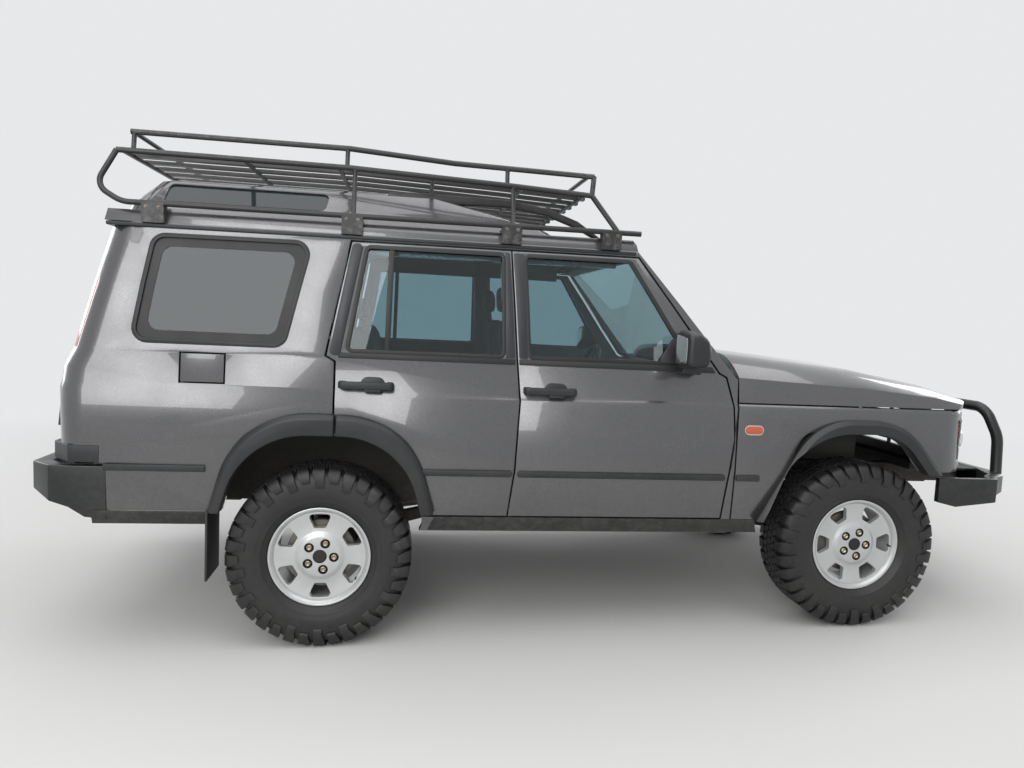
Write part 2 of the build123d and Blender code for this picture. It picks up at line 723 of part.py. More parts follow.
def prop_shafts():
    """Shafts from the transfer case to both axles."""
    front = rod((545, -150, 520), (FRONT_AXLE[0] - 200, -160, FRONT_AXLE[1] + 20), 30)
    rear = rod((-100, 0, 520), (REAR_AXLE[0] + 210, 0, REAR_AXLE[1] + 20), 32)
    return front + rear - front_axle() - rear_axle() - powertrain()


def turned(points_in, side):
    """Solid of revolution round the wheel's axle, its outer face away from the car."""
    face = Plane.XZ * outline(points_in)
    solid = revolve(face, Axis.Z)
    return Rot(X=90 if side == RIGHT else -90) * solid


def tyre(side):
    """Tyre, out to the tips of its tread blocks."""
    half = TYRE_WIDTH / 2
    points = ((BEAD_RADIUS + 0.2, -88.8), (BEAD_RADIUS + 0.2, 88.8), (224, 88.8), (224, 98), (262, 124),
              (305, half), (352, half), (388, half - 8), (TYRE_RADIUS, half - 36), (TYRE_RADIUS, 36 - half),
              (388, 8 - half), (352, -half), (305, -half), (262, -124), (224, -98), (224, -88.8))
    return turned(points, side)


def rim(side, turn):
    """Six-spoke rim with its hub and brake disc."""
    points = ((190, -RIM_HALF_WIDTH), (FLANGE_RADIUS, -RIM_HALF_WIDTH), (FLANGE_RADIUS, -89), (BEAD_RADIUS, -89),
              (BEAD_RADIUS, 89), (FLANGE_RADIUS, 89), (FLANGE_RADIUS, RIM_HALF_WIDTH), (190, RIM_HALF_WIDTH))
    barrel = revolve(Plane.XZ * outline(points), Axis.Z)
    disc = Pos(0, 0, 66) * Cylinder(191, 16)
    window = outline(((123, -26), (185, -50), (185, 50), (123, 26)), 8)
    for step in range(SPOKES):
        disc -= Rot(Z=turn + 360 / SPOKES * step) * Pos(0, 0, 40) * extrude(window, 60)
    hub = Pos(0, 0, 54) * Cylinder(95, 40) + Pos(0, 0, 78) * Cylinder(32, 16)
    neck = Pos(0, 0, 30) * Cylinder(50, 50)
    brake = Pos(0, 0, 15) * Cylinder(150, 20)
    bore = Pos(0, 0, 22) * Cylinder(25, 50)
    wheel = fuse(barrel, disc, hub, neck, brake) - bore
    return Rot(X=90 if side == RIGHT else -90) * wheel


def knuckle(side):
    """Steering knuckle: cup round the ball, stub for the hub, caliper and arm."""
    cup = Sphere(CUP_OUTSIDE) - Sphere(CUP_INSIDE) - block((-100, 100), (15, 100), (-100, 100))
    stub = rod((0, -60, 0), (0, -118, 0), 24)
    plate = rod((0, -60, 0), (0, -70, 0), 60) - Sphere(CUP_INSIDE)
    caliper = block((-178, -155), (-122, -68), (-50, 50)) + block((-155, -105), (-80, -68), (-45, 45))
    caliper += block((-155, -105), (-122, -112), (-45, 45))
    bracket = block((-112, -45), (-78, -68), (-30, 30))
    arm = block((-160, -30), (-45, -20), (-66, -46)) - Sphere(CUP_INSIDE)
    arm += Pos(-155, -32, -56) * Cylinder(18, 24)
    piece = fuse(cup, stub, plate, caliper, bracket, arm)
    return piece if side == RIGHT else mirrored(piece)


def tail_lamps(shells):
    """Tail lamps in both rear corners."""
    shell = shells.outer - body_solid(35)
    return both_sides(shell & tail_lamp_prism())


def fuel_flap(shells):
    """Fuel flap in the right quarter."""
    x_rear, x_front, z_low, z_high = FUEL_FLAP
    plate = block((x_rear + 6, x_front - 6), (-1000, -830), (z_low + 6, z_high - 6))
    return (shells.outer - body_solid(10)) & plate


def door_trim_front(shells):
    """Handle, rub strip and mirror of the right front door."""
    strip = block((-425, 548), (-920, -895), (748, 775)) - shells.outer
    grip = block((-395, -195), (-925, -880), (1125, 1155)) - shells.outer
    stalk = block((290, 360), (-960, -850), (1268, 1300)) - shells.outer
    head = block((262, 400), (-1095, -925), (1256, 1440))
    return fuse(strip, grip, stalk, head)


def door_trim_rear(shells):
    """Handle, rub strip and piece of flare of the right rear door."""
    strip = block((-850, -448), (-920, -895), (748, 775)) - shells.outer
    grip = block((-1200, -1000), (-925, -880), (1125, 1155)) - shells.outer
    piece = rear_flare(shells) & block((-1221, -700), (-1000, -600), (574, 1200))
    return fuse(piece, strip, grip)


def tail_door_trim(shells):
    """Hinge, handle and the bent bar by the hinge of the tail door."""
    hinge = block((-2395, -2330), (-640, -560), (1120, 1180)) - shells.outer
    grip = block((-2400, -2340), (430, 560), (1040, 1090)) - shells.outer
    return hinge + grip


def seated(shape):
    """Tip a level shape by the rake and move it to the part's origin."""
    return Pos(CENTRE_SHIFT, 0, 0) * (Rot(Y=RAKE) * shape)


def at_wheel(shape, x, y):
    """Place an upright shape at a wheel's centre."""
    return Pos(CENTRE_SHIFT + x, y, AXLE_HEIGHT) * shape


def make_nodes():
    """All nodes by name."""
    shells = BodyShells()
    right_side = body_side(shells)
    plain_side = body_side(shells) + (shells.cabin & fuel_flap_recess())
    front, rear = front_door(shells), rear_door(shells)
    front_pane = pane(shells, FRONT_WINDOW, 22)
    rear_pane = pane(shells, REAR_WINDOW, 22)
    quarter = pane(shells, QUARTER_WINDOW, QUARTER_CORNER)
    front_trim, rear_trim = door_trim_front(shells), door_trim_rear(shells)
    wing_right = wing(shells)
    basket = rack()
    glass = [windscreen(), *both_sides(quarter).solids(), *alpine_glass().solids()]
    level = {
        "chassis_frame": chassis(),
        "floor_pan": floor_pan(),
        "body_side_right": right_side,
        "body_side_left": mirrored(plain_side),
        "roof_panel": roof(),
        "front_wing_right": wing_right,
        "front_wing_left": mirrored(wing_right),
        "front_panel": front_panel(),
        "headlamps": both_sides(headlamp(shells)),
        "tail_lamps": tail_lamps(shells),
        "front_bumper": front_bumper(),
        "rear_bumper": rear_bumper(),
        "wheel_flares": wheel_flares(shells),
        "body_trim": body_trim(shells),
        "roof_rack": basket,
        "rack_guard": rack_guard() - basket,
        "body_glass": fuse(*glass),
        "seats": seats(),
        "dashboard": dashboard(),
        "powertrain": powertrain(),
        "exhaust": exhaust(),
        "fuel_tank": fuel_tank(),
        "prop_shafts": prop_shafts(),
        "front_axle": front_axle(),
        "rear_axle": rear_axle(),
        "suspension": suspension(),
        "bonnet": bonnet(),
        "tail_door": tail_door(shells),
        "tail_door_glass": tail_glass(shells),
        "tail_door_trim": tail_door_trim(shells),
        "fuel_flap": fuel_flap(shells),
        "door_front_right": front,
        "door_rear_right": rear,
        "door_front_left": mirrored(front),
        "door_rear_left": mirrored(rear),
        "door_front_right_glass": front_pane,
        "door_rear_right_glass": rear_pane,
        "door_front_left_glass": mirrored(front_pane),
        "door_rear_left_glass": mirrored(rear_pane),
        "door_front_right_trim": front_trim,
        "door_rear_right_trim": rear_trim,
        "door_front_left_trim": mirrored(front_trim),
        "door_rear_left_trim": mirrored(rear_trim),
    }
    nodes = {name: seated(shape) for name, shape in level.items()}
    for axle, x, track, turn in (("front", WHEELBASE / 2, FRONT_TRACK, 30), ("rear", -WHEELBASE / 2, REAR_TRACK, 0)):
        for name, side in (("right", RIGHT), ("left", LEFT)):
            nodes[f"tyre_{axle}_{name}"] = at_wheel(tyre(side), x, side * track / 2)
            nodes[f"rim_{axle}_{name}"] = at_wheel(rim(side, turn), x, side * track / 2)
    for name, side in (("right", RIGHT), ("left", LEFT)):
        nodes[f"knuckle_{name}"] = at_wheel(knuckle(side), WHEELBASE / 2, side * STEER_AXIS_Y)
    return nodes


def main():
    """Write one STEP file for each node."""
    os.makedirs("parts", exist_ok=True)
    for name, shape in make_nodes().items():
        shape.label = name
        export_step(shape, f"parts/{name}.step")


if __name__ == "__main__":
    main()
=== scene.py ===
"""Looks of a lifted off-road estate car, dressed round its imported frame.

Lengths are metres and angles are degrees unless a name says otherwise. X points
forward, Y to the car's left and Z up. Body pieces are drawn level, with x = 0
halfway between the axles, and are then tipped by the rake of the lifted springs,
as the frame is. Wheel pieces are drawn upright round their own axles.
"""

from __future__ import annotations

import json
import logging
import math
from collections.abc import Callable, Iterable, Sequence
from dataclasses import dataclass
from enum import Enum

import bmesh
import bpy
from mathutils import Matrix, Vector

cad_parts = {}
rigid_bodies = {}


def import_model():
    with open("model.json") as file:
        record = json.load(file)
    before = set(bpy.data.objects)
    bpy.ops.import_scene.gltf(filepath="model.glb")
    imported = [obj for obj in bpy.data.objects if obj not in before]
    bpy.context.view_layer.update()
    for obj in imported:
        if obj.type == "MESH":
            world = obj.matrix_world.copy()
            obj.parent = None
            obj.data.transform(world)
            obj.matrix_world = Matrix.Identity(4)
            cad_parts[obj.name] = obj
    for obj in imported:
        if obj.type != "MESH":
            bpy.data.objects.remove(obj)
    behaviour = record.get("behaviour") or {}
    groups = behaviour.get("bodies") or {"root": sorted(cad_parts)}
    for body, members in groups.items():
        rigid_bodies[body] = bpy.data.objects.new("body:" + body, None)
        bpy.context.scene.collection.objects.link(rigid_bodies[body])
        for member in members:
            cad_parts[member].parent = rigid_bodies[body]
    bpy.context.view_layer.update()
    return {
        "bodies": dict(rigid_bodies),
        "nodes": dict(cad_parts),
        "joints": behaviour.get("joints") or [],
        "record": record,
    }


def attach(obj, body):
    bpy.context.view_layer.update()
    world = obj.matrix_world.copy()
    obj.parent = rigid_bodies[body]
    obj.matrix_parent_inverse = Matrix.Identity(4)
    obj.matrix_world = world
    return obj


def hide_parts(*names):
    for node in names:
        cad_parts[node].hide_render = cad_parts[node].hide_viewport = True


LOG = logging.getLogger("offroad_estate")
WELD_GAP = 0.00002
FLAT_ANGLE = 0.4
STRAIGHT_ANGLE = 178
EDGE_SHARE = 0.49
SHORTEST_ARC = 1e-5
MITRE_LIMIT = 0.3

Point = tuple[float, float, float]
Flat = tuple[float, float]
Outline = tuple[Flat, ...]
FaceTest = Callable[[Vector, Vector], bool]
Piece = bpy.types.Object
Material = bpy.types.Material
Node = bpy.types.Node
Socket = bpy.types.NodeSocket
Tree = bpy.types.NodeTree


class Side(Enum):
    """Side of the car, as the sign of its Y."""

    RIGHT = -1
    LEFT = 1

    @property
    def word(self) -> str:
        """Name of the side in piece names."""
        return self.name.lower()


class Axle(Enum):
    """The two axles, as the sign of their X."""

    FRONT = 1
    REAR = -1

    @property
    def word(self) -> str:
        """Name of the axle in piece names."""
        return self.name.lower()


@dataclass(frozen=True)
class Stance:
    """How the level body stands over its wheels."""

    rake: float = 1.4633
    shift: float = 0.1226
    wheelbase: float = 2.54
    axle_height: float = 0.402
    track_front: float = 1.54
    track_rear: float = 1.56

    def seat(self) -> Matrix:
        """Matrix from the level body frame to the frame of the part."""
        turn = Matrix.Rotation(math.radians(self.rake), 4, "Y")
        return Matrix.Translation((self.shift, 0, 0)) @ turn

    def axle_x(self, axle: Axle) -> float:
        """Place of an axle along the part."""
        return self.shift + axle.value * self.wheelbase / 2


STANCE = Stance()
LEVEL = STANCE.seat()
UPRIGHT = Matrix.Identity(4)


# Modelling helpers.


def rest_selection() -> None:
    """Leave edit mode and select nothing."""
    if bpy.context.object and bpy.context.object.mode != "OBJECT":
        bpy.ops.object.mode_set(mode="OBJECT")
    bpy.ops.object.select_all(action="DESELECT")


def focus(piece: Piece) -> Piece:
    """Make one piece the only selected and active one.

    Args:
        piece: The object to work on.

    Returns:
        The same object.
    """
    rest_selection()
    piece.select_set(True)
    bpy.context.view_layer.objects.active = piece
    return piece


def edit(piece: Piece, mode: str = "FACE") -> None:
    """Open a piece in edit mode with nothing selected.

    Args:
        piece: The object to edit.
        mode: VERT, EDGE or FACE.
    """
    focus(piece)
    bpy.ops.object.mode_set(mode="EDIT")
    bpy.ops.mesh.select_mode(type=mode)
    bpy.ops.mesh.select_all(action="DESELECT")


def leave_edit() -> None:
    """Back to object mode."""
    bpy.ops.object.mode_set(mode="OBJECT")


def pick_faces(piece: Piece, test: FaceTest) -> None:
    """Select the faces that pass a test on their centre and normal.

    Args:
        piece: Object in edit mode.
        test: Called with a face's centre and normal.
    """
    mesh = bmesh.from_edit_mesh(piece.data)
    for face in mesh.faces:
        face.select_set(test(face.calc_center_median(), face.normal))
    bmesh.update_edit_mesh(piece.data)


def start_box(name: str, low: Point, high: Point) -> Piece:
    """Box between two corners, the start of a piece.

    Args:
        name: Name of the piece.
        low: Lowest corner.
        high: Highest corner.

    Returns:
        The new object, its scale applied.
    """
    rest_selection()
    centre = (Vector(low) + Vector(high)) / 2
    bpy.ops.mesh.primitive_cube_add(size=1, location=centre)
    piece = bpy.context.object
    piece.name = name
    piece.scale = Vector(high) - Vector(low)
    bpy.ops.object.transform_apply(location=True, rotation=True, scale=True)
    return piece


def block(name: str, low: Point, high: Point, edge: float) -> Piece:
    """Box between two corners with rounded edges."""
    return soften(start_box(name, low, high), edge)


def start_round(name: str, start: Point, end: Point, radius: float, sides: int = 32,
                tip: float | None = None) -> Piece:
    """Cylinder or cone between two points, the start of a piece.

    Args:
        name: Name of the piece.
        start: Centre of the first end.
        end: Centre of the other end.
        radius: Radius at the start.
        sides: Number of sides.
        tip: Radius at the end, the same as at the start when left out.

    Returns:
        The new object, its place in its mesh.
    """
    rest_selection()
    line = Vector(end) - Vector(start)
    middle = (Vector(start) + Vector(end)) / 2
    turn = line.to_track_quat("Z", "Y").to_euler()
    bpy.ops.mesh.primitive_cone_add(vertices=sides, radius1=radius, radius2=radius if tip is None else tip,
                                    depth=line.length, location=middle, rotation=turn)
    piece = bpy.context.object
    piece.name = name
    bpy.ops.object.transform_apply(location=True, rotation=True, scale=True)
    return piece


def trace(name: str, points: Sequence[Point], filled: bool = True) -> Piece:
    """Closed outline drawn point by point, filled when asked.

    Args:
        name: Name of the piece.
        points: Corners in order.
        filled: Whether the outline gets a face.

    Returns:
        The new object.
    """
    rest_selection()
    bpy.ops.mesh.primitive_plane_add(size=0.001, location=points[0])
    piece = bpy.context.object
    piece.name = name
    bpy.ops.object.transform_apply(location=True, rotation=True, scale=True)
    edit(piece, "VERT")
    bpy.ops.mesh.select_all(action="SELECT")
    bpy.ops.mesh.merge(type="CENTER")
    for here, after in zip(points, points[1:]):
        bpy.ops.mesh.extrude_vertices_move(TRANSFORM_OT_translate={"value": Vector(after) - Vector(here)})
    mesh = bmesh.from_edit_mesh(piece.data)
    ends = [vert for vert in mesh.verts if len(vert.link_edges) == 1]
    bpy.ops.mesh.select_all(action="DESELECT")
    for vert in ends:
        vert.select_set(True)
    bmesh.update_edit_mesh(piece.data)
    bpy.ops.mesh.edge_face_add()
    if filled:
        bpy.ops.mesh.select_all(action="SELECT")
        bpy.ops.mesh.edge_face_add()
    leave_edit()
    return piece


def thicken(piece: Piece, move: Point) -> Piece:
    """Extrude a filled outline into a closed slab.

    Args:
        piece: A traced outline.
        move: Way and distance of the extrusion.

    Returns:
        The same object, closed, its normals outward.
    """
    edit(piece)
    bpy.ops.mesh.select_all(action="SELECT")
    bpy.ops.mesh.extrude_region_move(TRANSFORM_OT_translate={"value": move})
    bpy.ops.mesh.select_all(action="SELECT")
    bpy.ops.mesh.normals_make_consistent(inside=False)
    leave_edit()
    return piece


def slab(name: str, outline: Sequence[Point], move: Point, round_off: float = 0.0) -> Piece:
    """Plate of an outline, its edges rounded.

    Args:
        name: Name of the piece.
        outline: Corners of one face.
        move: Way and thickness.
        round_off: Width of the rounding, none when 0.

    Returns:
        The finished plate.
    """
    piece = thicken(trace(name, outline), move)
    return soften(piece, round_off) if round_off else piece


def add_modifier(piece: Piece, kind: str, **values: object) -> bpy.types.Modifier:
    """Give a piece one modifier.

    Args:
        piece: The object.
        kind: Blender's name of the modifier type.
        values: Settings of the modifier.

    Returns:
        The modifier.
    """
    modifier = piece.modifiers.new(kind.title(), kind)
    for key, value in values.items():
        setattr(modifier, key, value)
    return modifier


def apply_modifier(piece: Piece, kind: str, **values: object) -> Piece:
    """Work one modifier into a piece's mesh.

    Args:
        piece: The object.
        kind: Blender's name of the modifier type.
        values: Settings of the modifier.

    Returns:
        The same object.
    """
    focus(piece)
    bpy.ops.object.modifier_apply(modifier=add_modifier(piece, kind, **values).name)
    return piece


def soften(piece: Piece, width: float, segments: int = 2, angle: float = 30) -> Piece:
    """Round the sharp edges of a piece and shade it smooth.

    Args:
        piece: The object.
        width: Width of the rounding.
        segments: Steps of the rounding.
        angle: Edges sharper than this are rounded.

    Returns:
        The same object.
    """
    apply_modifier(piece, "BEVEL", width=width, segments=segments, limit_method="ANGLE",
                   angle_limit=math.radians(angle), use_clamp_overlap=True)
    return shade(piece)


def shade(piece: Piece, angle: float = 32) -> Piece:
    """Shade a piece smooth up to an angle.

    Args:
        piece: The object.
        angle: Edges sharper than this stay sharp.

    Returns:
        The same object.
    """
    focus(piece)
    bpy.ops.object.shade_smooth_by_angle(angle=math.radians(angle))
    return piece


def join(name: str, pieces: Iterable[Piece]) -> Piece:
    """Join several meshes into one piece.

    Args:
        name: Name of the result.
        pieces: Meshes, each consumed.

    Returns:
        The joined object.
    """
    rest_selection()
    members = list(pieces)
    for piece in members:
        piece.select_set(True)
    bpy.context.view_layer.objects.active = members[0]
    bpy.ops.object.join()
    members[0].name = name
    return members[0]


def twin(piece: Piece, matrix: Matrix, name: str = "copy") -> Piece:
    """Copy of a piece with its own mesh, moved by a matrix.

    Args:
        piece: The piece to copy.
        matrix: Where the copy goes; a mirroring one has its normals set right.
        name: Name of the copy.

    Returns:
        The copy.
    """
    focus(piece)
    bpy.ops.object.duplicate(linked=False)
    copy = bpy.context.object
    copy.name = name
    copy.data.transform(matrix)
    if matrix.determinant() < 0:
        copy.data.flip_normals()
    return copy


def across(piece: Piece, name: str = "copy") -> Piece:
    """Mirror image of a piece on the other side of the car."""
    return twin(piece, Matrix.Scale(-1, 4, (0, 1, 0)), name)


def both(name: str, piece: Piece) -> Piece:
    """A piece joined with its mirror image."""
    return join(name, [piece, across(piece)])


def about(degrees: float, axis: str = "Y") -> Matrix:
    """Turn round an axis through the origin."""
    return Matrix.Rotation(math.radians(degrees), 4, axis)


def ring_of(piece: Piece, count: int, start: float = 0.0) -> list[Piece]:
    """Copies of a piece turned evenly round the Y axis.

    Args:
        piece: The first piece, kept as the first of the ring.
        count: Number of pieces.
        start: Turn of the first piece.

    Returns:
        All the pieces.
    """
    piece.data.transform(about(start))
    return [piece] + [twin(piece, about(360 / count * n)) for n in range(1, count)]


def spin_profile(name: str, points: Sequence[Flat], steps: int) -> Piece:
    """Turned piece round the Y axis, from a closed profile of radius and place along Y.

    Args:
        name: Name of the piece.
        points: Profile as radius and y.
        steps: Steps of the turn.

    Returns:
        The turned piece with its normals outward.
    """
    piece = trace(name, [(radius, y, 0) for radius, y in points], filled=False)
    edit(piece, "EDGE")
    bpy.ops.mesh.select_all(action="SELECT")
    bpy.ops.mesh.spin(steps=steps, angle=2 * math.pi, center=(0, 0, 0), axis=(0, 1, 0), use_auto_merge=True)
    bpy.ops.mesh.select_all(action="SELECT")
    bpy.ops.mesh.remove_doubles(threshold=WELD_GAP)
    bpy.ops.mesh.normals_make_consistent(inside=False)
    leave_edit()
    return piece


def rounded(points: Sequence[Point], radius: float | Sequence[float], steps: int = 5,
            closed: bool = False) -> list[Point]:
    """Run of points with its corners rounded by arcs.

    Args:
        points: Corners in order.
        radius: One radius, or one for each corner.
        steps: Steps of each arc.
        closed: Whether the run is a ring.

    Returns:
        The longer run of points.
    """
    run = [Vector(point) for point in points]
    result: list[Point] = []
    count = len(run)
    for index, corner in enumerate(run):
        if not closed and index in (0, count - 1):
            result.append(tuple(corner))
            continue
        back = run[index - 1] - corner
        ahead = run[(index + 1) % count] - corner
        angle = back.angle(ahead)
        size = radius if isinstance(radius, (int, float)) else radius[index if closed else index - 1]
        reach = min(size / math.tan(angle / 2), back.length * EDGE_SHARE, ahead.length * EDGE_SHARE)
        if angle > math.radians(STRAIGHT_ANGLE) or reach < SHORTEST_ARC:
            result.append(tuple(corner))
            continue
        inner = reach * math.tan(angle / 2)
        bisector = (back.normalized() + ahead.normalized()).normalized()
        centre = corner + bisector * (inner / math.sin(angle / 2))
        first = corner + back.normalized() * reach - centre
        last = corner + ahead.normalized() * reach - centre
        for step in range(steps + 1):
            result.append(tuple(centre + first.slerp(last, step / steps).normalized() * first.length))
    return result


def combine(piece: Piece, tool: Piece, how: str = "DIFFERENCE") -> Piece:
    """Cut a piece with a second closed form, or intersect the two; the second is used up.

    Args:
        piece: The piece that stays.
        tool: The form that cuts it.
        how: DIFFERENCE or INTERSECT.

    Returns:
        The first piece.
    """
    apply_modifier(piece, "BOOLEAN", object=tool, operation=how, solver="EXACT")
    bpy.data.objects.remove(tool, do_unlink=True)
    return piece


def widened(outline: Sequence[Flat], amount: float) -> list[Flat]:
    """Outline with each side moved outward by an amount, or inward by a negative one.

    Args:
        outline: Corners as x and height, either way round.
        amount: Distance.

    Returns:
        The corners of the new outline.
    """
    count = len(outline)
    area = sum(outline[n][0] * outline[(n + 1) % count][1] - outline[(n + 1) % count][0] * outline[n][1]
               for n in range(count))
    turn = 1 if area > 0 else -1
    result = []
    for index, corner in enumerate(outline):
        before = (Vector(corner) - Vector(outline[index - 1])).normalized()
        after = (Vector(outline[(index + 1) % count]) - Vector(corner)).normalized()
        first = Vector((before.y, -before.x)) * turn
        second = Vector((after.y, -after.x)) * turn
        middle = (first + second).normalized()
        result.append(tuple(Vector(corner) + middle * (amount / max(MITRE_LIMIT, middle.dot(first)))))
    return result


def pipe(name: str, points: Sequence[Point], radius: float) -> Piece:
    """Round bar or wire along a run of points, as a mesh.

    Args:
        name: Name of the piece.
        points: The run of points.
        radius: Half the thickness.

    Returns:
        The bar with closed ends.
    """
    curve = bpy.data.curves.new(name, "CURVE")
    curve.dimensions = "3D"
    curve.bevel_depth = radius
    curve.bevel_resolution = 3
    curve.use_fill_caps = True
    spline = curve.splines.new("POLY")
    spline.points.add(len(points) - 1)
    for slot, point in zip(spline.points, points):
        slot.co = (*point, 1)
    holder = bpy.data.objects.new(name, curve)
    bpy.context.scene.collection.objects.link(holder)
    focus(holder)
    bpy.ops.object.convert(target="MESH")
    return shade(bpy.context.object, 50)


# Materials.


def feed(tree: Tree, node: Node, inputs: dict[str | int, object]) -> None:
    """Give inputs of a node their values, or join them to other nodes.

    Args:
        tree: The tree that the node is in.
        node: The node.
        inputs: For each input a number, a vector, a linear RGB colour or a socket.
    """
    for key, value in inputs.items():
        slot = node.inputs[key]
        if isinstance(value, Socket):
            tree.links.new(value, slot)
        else:
            slot.default_value = (*value, 1) if slot.type == "RGBA" else value


def add_node(tree: Tree, kind: str, inputs: dict[str | int, object] | None = None, **values: object) -> Node:
    """Add a shader node to a tree.

    Args:
        tree: The tree.
        kind: Type of the node, without the word ShaderNode.
        inputs: What its inputs get.
        values: Properties of the node.

    Returns:
        The node.
    """
    node = tree.nodes.new(f"ShaderNode{kind}")
    for key, value in values.items():
        setattr(node, key, value)
    feed(tree, node, inputs or {})
    return node


def mix_colour(tree: Tree, amount: object, first: object, second: object) -> Socket:
    """Mix two colours in a material's tree.

    Args:
        tree: The material's node tree.
        amount: Socket or number from 0 to 1.
        first: Colour or socket at 0.
        second: Colour or socket at 1.

    Returns:
        Socket with the mixed colour.
    """
    return add_node(tree, "Mix", {0: amount, 6: first, 7: second}, data_type="RGBA").outputs[2]


def new_material(name: str) -> tuple[Material, Tree, Node]:
    """Material with its tree and its Principled shader."""
    material = bpy.data.materials.new(name)
    material.use_nodes = True
    return material, material.node_tree, material.node_tree.nodes["Principled BSDF"]


class GroupMaker:
    """Node group with named inputs and outputs, under construction."""

    def __init__(self, name: str, inputs: dict[str, float], outputs: Sequence[str]) -> None:
        """Open a new group.

        Args:
            name: Name of the group.
            inputs: Name and first value of each input.
            outputs: Names of the outputs, all plain values.
        """
        self.tree = bpy.data.node_groups.new(name, "ShaderNodeTree")
        for label, value in inputs.items():
            socket = self.tree.interface.new_socket(label, in_out="INPUT", socket_type="NodeSocketFloat")
            socket.default_value = value
        for label in outputs:
            self.tree.interface.new_socket(label, in_out="OUTPUT", socket_type="NodeSocketFloat")
        self.given = self.tree.nodes.new("NodeGroupInput").outputs
        self.leave = self.tree.nodes.new("NodeGroupOutput")

    def add(self, kind: str, inputs: dict[str | int, object] | None = None, **values: object) -> Node:
        """Add a node to the group."""
        return add_node(self.tree, kind, inputs, **values)

    def place(self) -> Socket:
        """Place on the object."""
        return self.add("TexCoord").outputs["Object"]

    def parts(self, vector: Socket) -> bpy.types.bpy_prop_collection:
        """The X, Y and Z of a vector."""
        return self.add("SeparateXYZ", {0: vector}).outputs

    def noise(self, scale: float | Socket, detail: float, stretch: Point | None = None,
              rough: float = 0.55) -> Socket:
        """Noise on object coordinates.

        Args:
            scale: A number, or a socket of the group's input.
            detail: Detail of the noise.
            stretch: Scale along each axis.
            rough: Roughness of the noise.

        Returns:
            Socket with values round one half.
        """
        place = self.place()
        if stretch:
            place = self.add("Mapping", {"Vector": place, "Scale": stretch}).outputs["Vector"]
        inputs = {"Vector": place, "Scale": scale, "Detail": detail, "Roughness": rough}
        return self.add("TexNoise", inputs).outputs["Fac"]

    def math(self, what: str, first: object, second: object = 0.0, clamp: bool = False) -> Socket:
        """One calculation on sockets or numbers."""
        return self.add("Math", {0: first, 1: second}, operation=what, use_clamp=clamp).outputs[0]

    def band(self, value: Socket, low: object, high: object) -> Socket:
        """Value mapped from low..high to 0..1 and held there."""
        inputs = {"Value": value, "From Min": low, "From Max": high}
        return self.add("MapRange", inputs, clamp=True).outputs["Result"]

    def give(self, label: str, socket: Socket) -> None:
        """Send a socket to one of the outputs."""
        feed(self.tree, self.leave, {label: socket})


class Effects:
    """The effects that several finishes share."""

    def __init__(self) -> None:
        """Build every group once."""
        self.dust = self._dust()
        self.grain = self._grain()
        self.wear = self._wear()
        self.weave = self._weave()

    @staticmethod
    def _dust() -> Tree:
        """Road dust that fades upward, and stays thicker on faces that look up."""
        made = GroupMaker("road_dust", {"Amount": 0.5, "Low": 0.35, "High": 0.95, "Top": 0.0}, ["Mask"])
        given = made.given
        height = made.parts(made.place())["Z"]
        fall = made.math("SUBTRACT", 1.0, made.band(height, given["Low"], given["High"]))
        patches = made.band(made.noise(3.1, 7.0, rough=0.65), 0.36, 0.74)
        specks = made.band(made.noise(46.0, 4.0), 0.42, 0.70)
        up = made.parts(made.add("NewGeometry").outputs["Normal"])["Z"]
        top = made.math("MULTIPLY", made.band(up, 0.35, 0.95), given["Top"])
        rough = made.math("ADD", made.math("MULTIPLY", patches, 0.65), made.math("MULTIPLY", specks, 0.35))
        base = made.math("MULTIPLY", made.math("MAXIMUM", fall, top), rough)
        made.give("Mask", made.math("MULTIPLY", base, given["Amount"], clamp=True))
        return made.tree

    @staticmethod
    def _grain() -> Tree:
        """Fine and broad unevenness: a height for bump and a broad tone."""
        made = GroupMaker("surface_grain", {"Scale": 300.0, "Broad": 6.0}, ["Height", "Tone"])
        made.give("Height", made.noise(made.given["Scale"], 3.0))
        made.give("Tone", made.band(made.noise(made.given["Broad"], 5.0), 0.3, 0.7))
        return made.tree

    @staticmethod
    def _wear() -> Tree:
        """Rubbed edges and fine scratches."""
        made = GroupMaker("edge_wear", {"Edges": 0.5, "Scratches": 0.3}, ["Mask"])
        edge = made.band(made.add("NewGeometry").outputs["Pointiness"], 0.53, 0.60)
        broken = made.band(made.noise(34.0, 6.0, rough=0.7), 0.45, 0.62)
        rubbed = made.math("MULTIPLY", made.math("MULTIPLY", edge, broken), made.given["Edges"])
        lines = made.band(made.noise(9.0, 8.0, stretch=(2.0, 9.0, 30.0), rough=0.8), 0.66, 0.72)
        scratched = made.math("MULTIPLY", lines, made.given["Scratches"])
        made.give("Mask", made.math("MAXIMUM", rubbed, scratched, clamp=True))
        return made.tree

    @staticmethod
    def _weave() -> Tree:
        """Woven cloth: crossed threads as a height."""
        made = GroupMaker("cloth_weave", {"Threads": 420.0}, ["Height"])
        split = made.parts(made.place())
        waves = [made.math("SINE", made.math("MULTIPLY", split[label], made.given["Threads"]))
                 for label in ("X", "Y", "Z")]
        crossed = made.math("MULTIPLY", made.math("ADD", waves[0], waves[2]), waves[1])
        made.give("Height", made.band(crossed, -1.2, 1.2))
        return made.tree


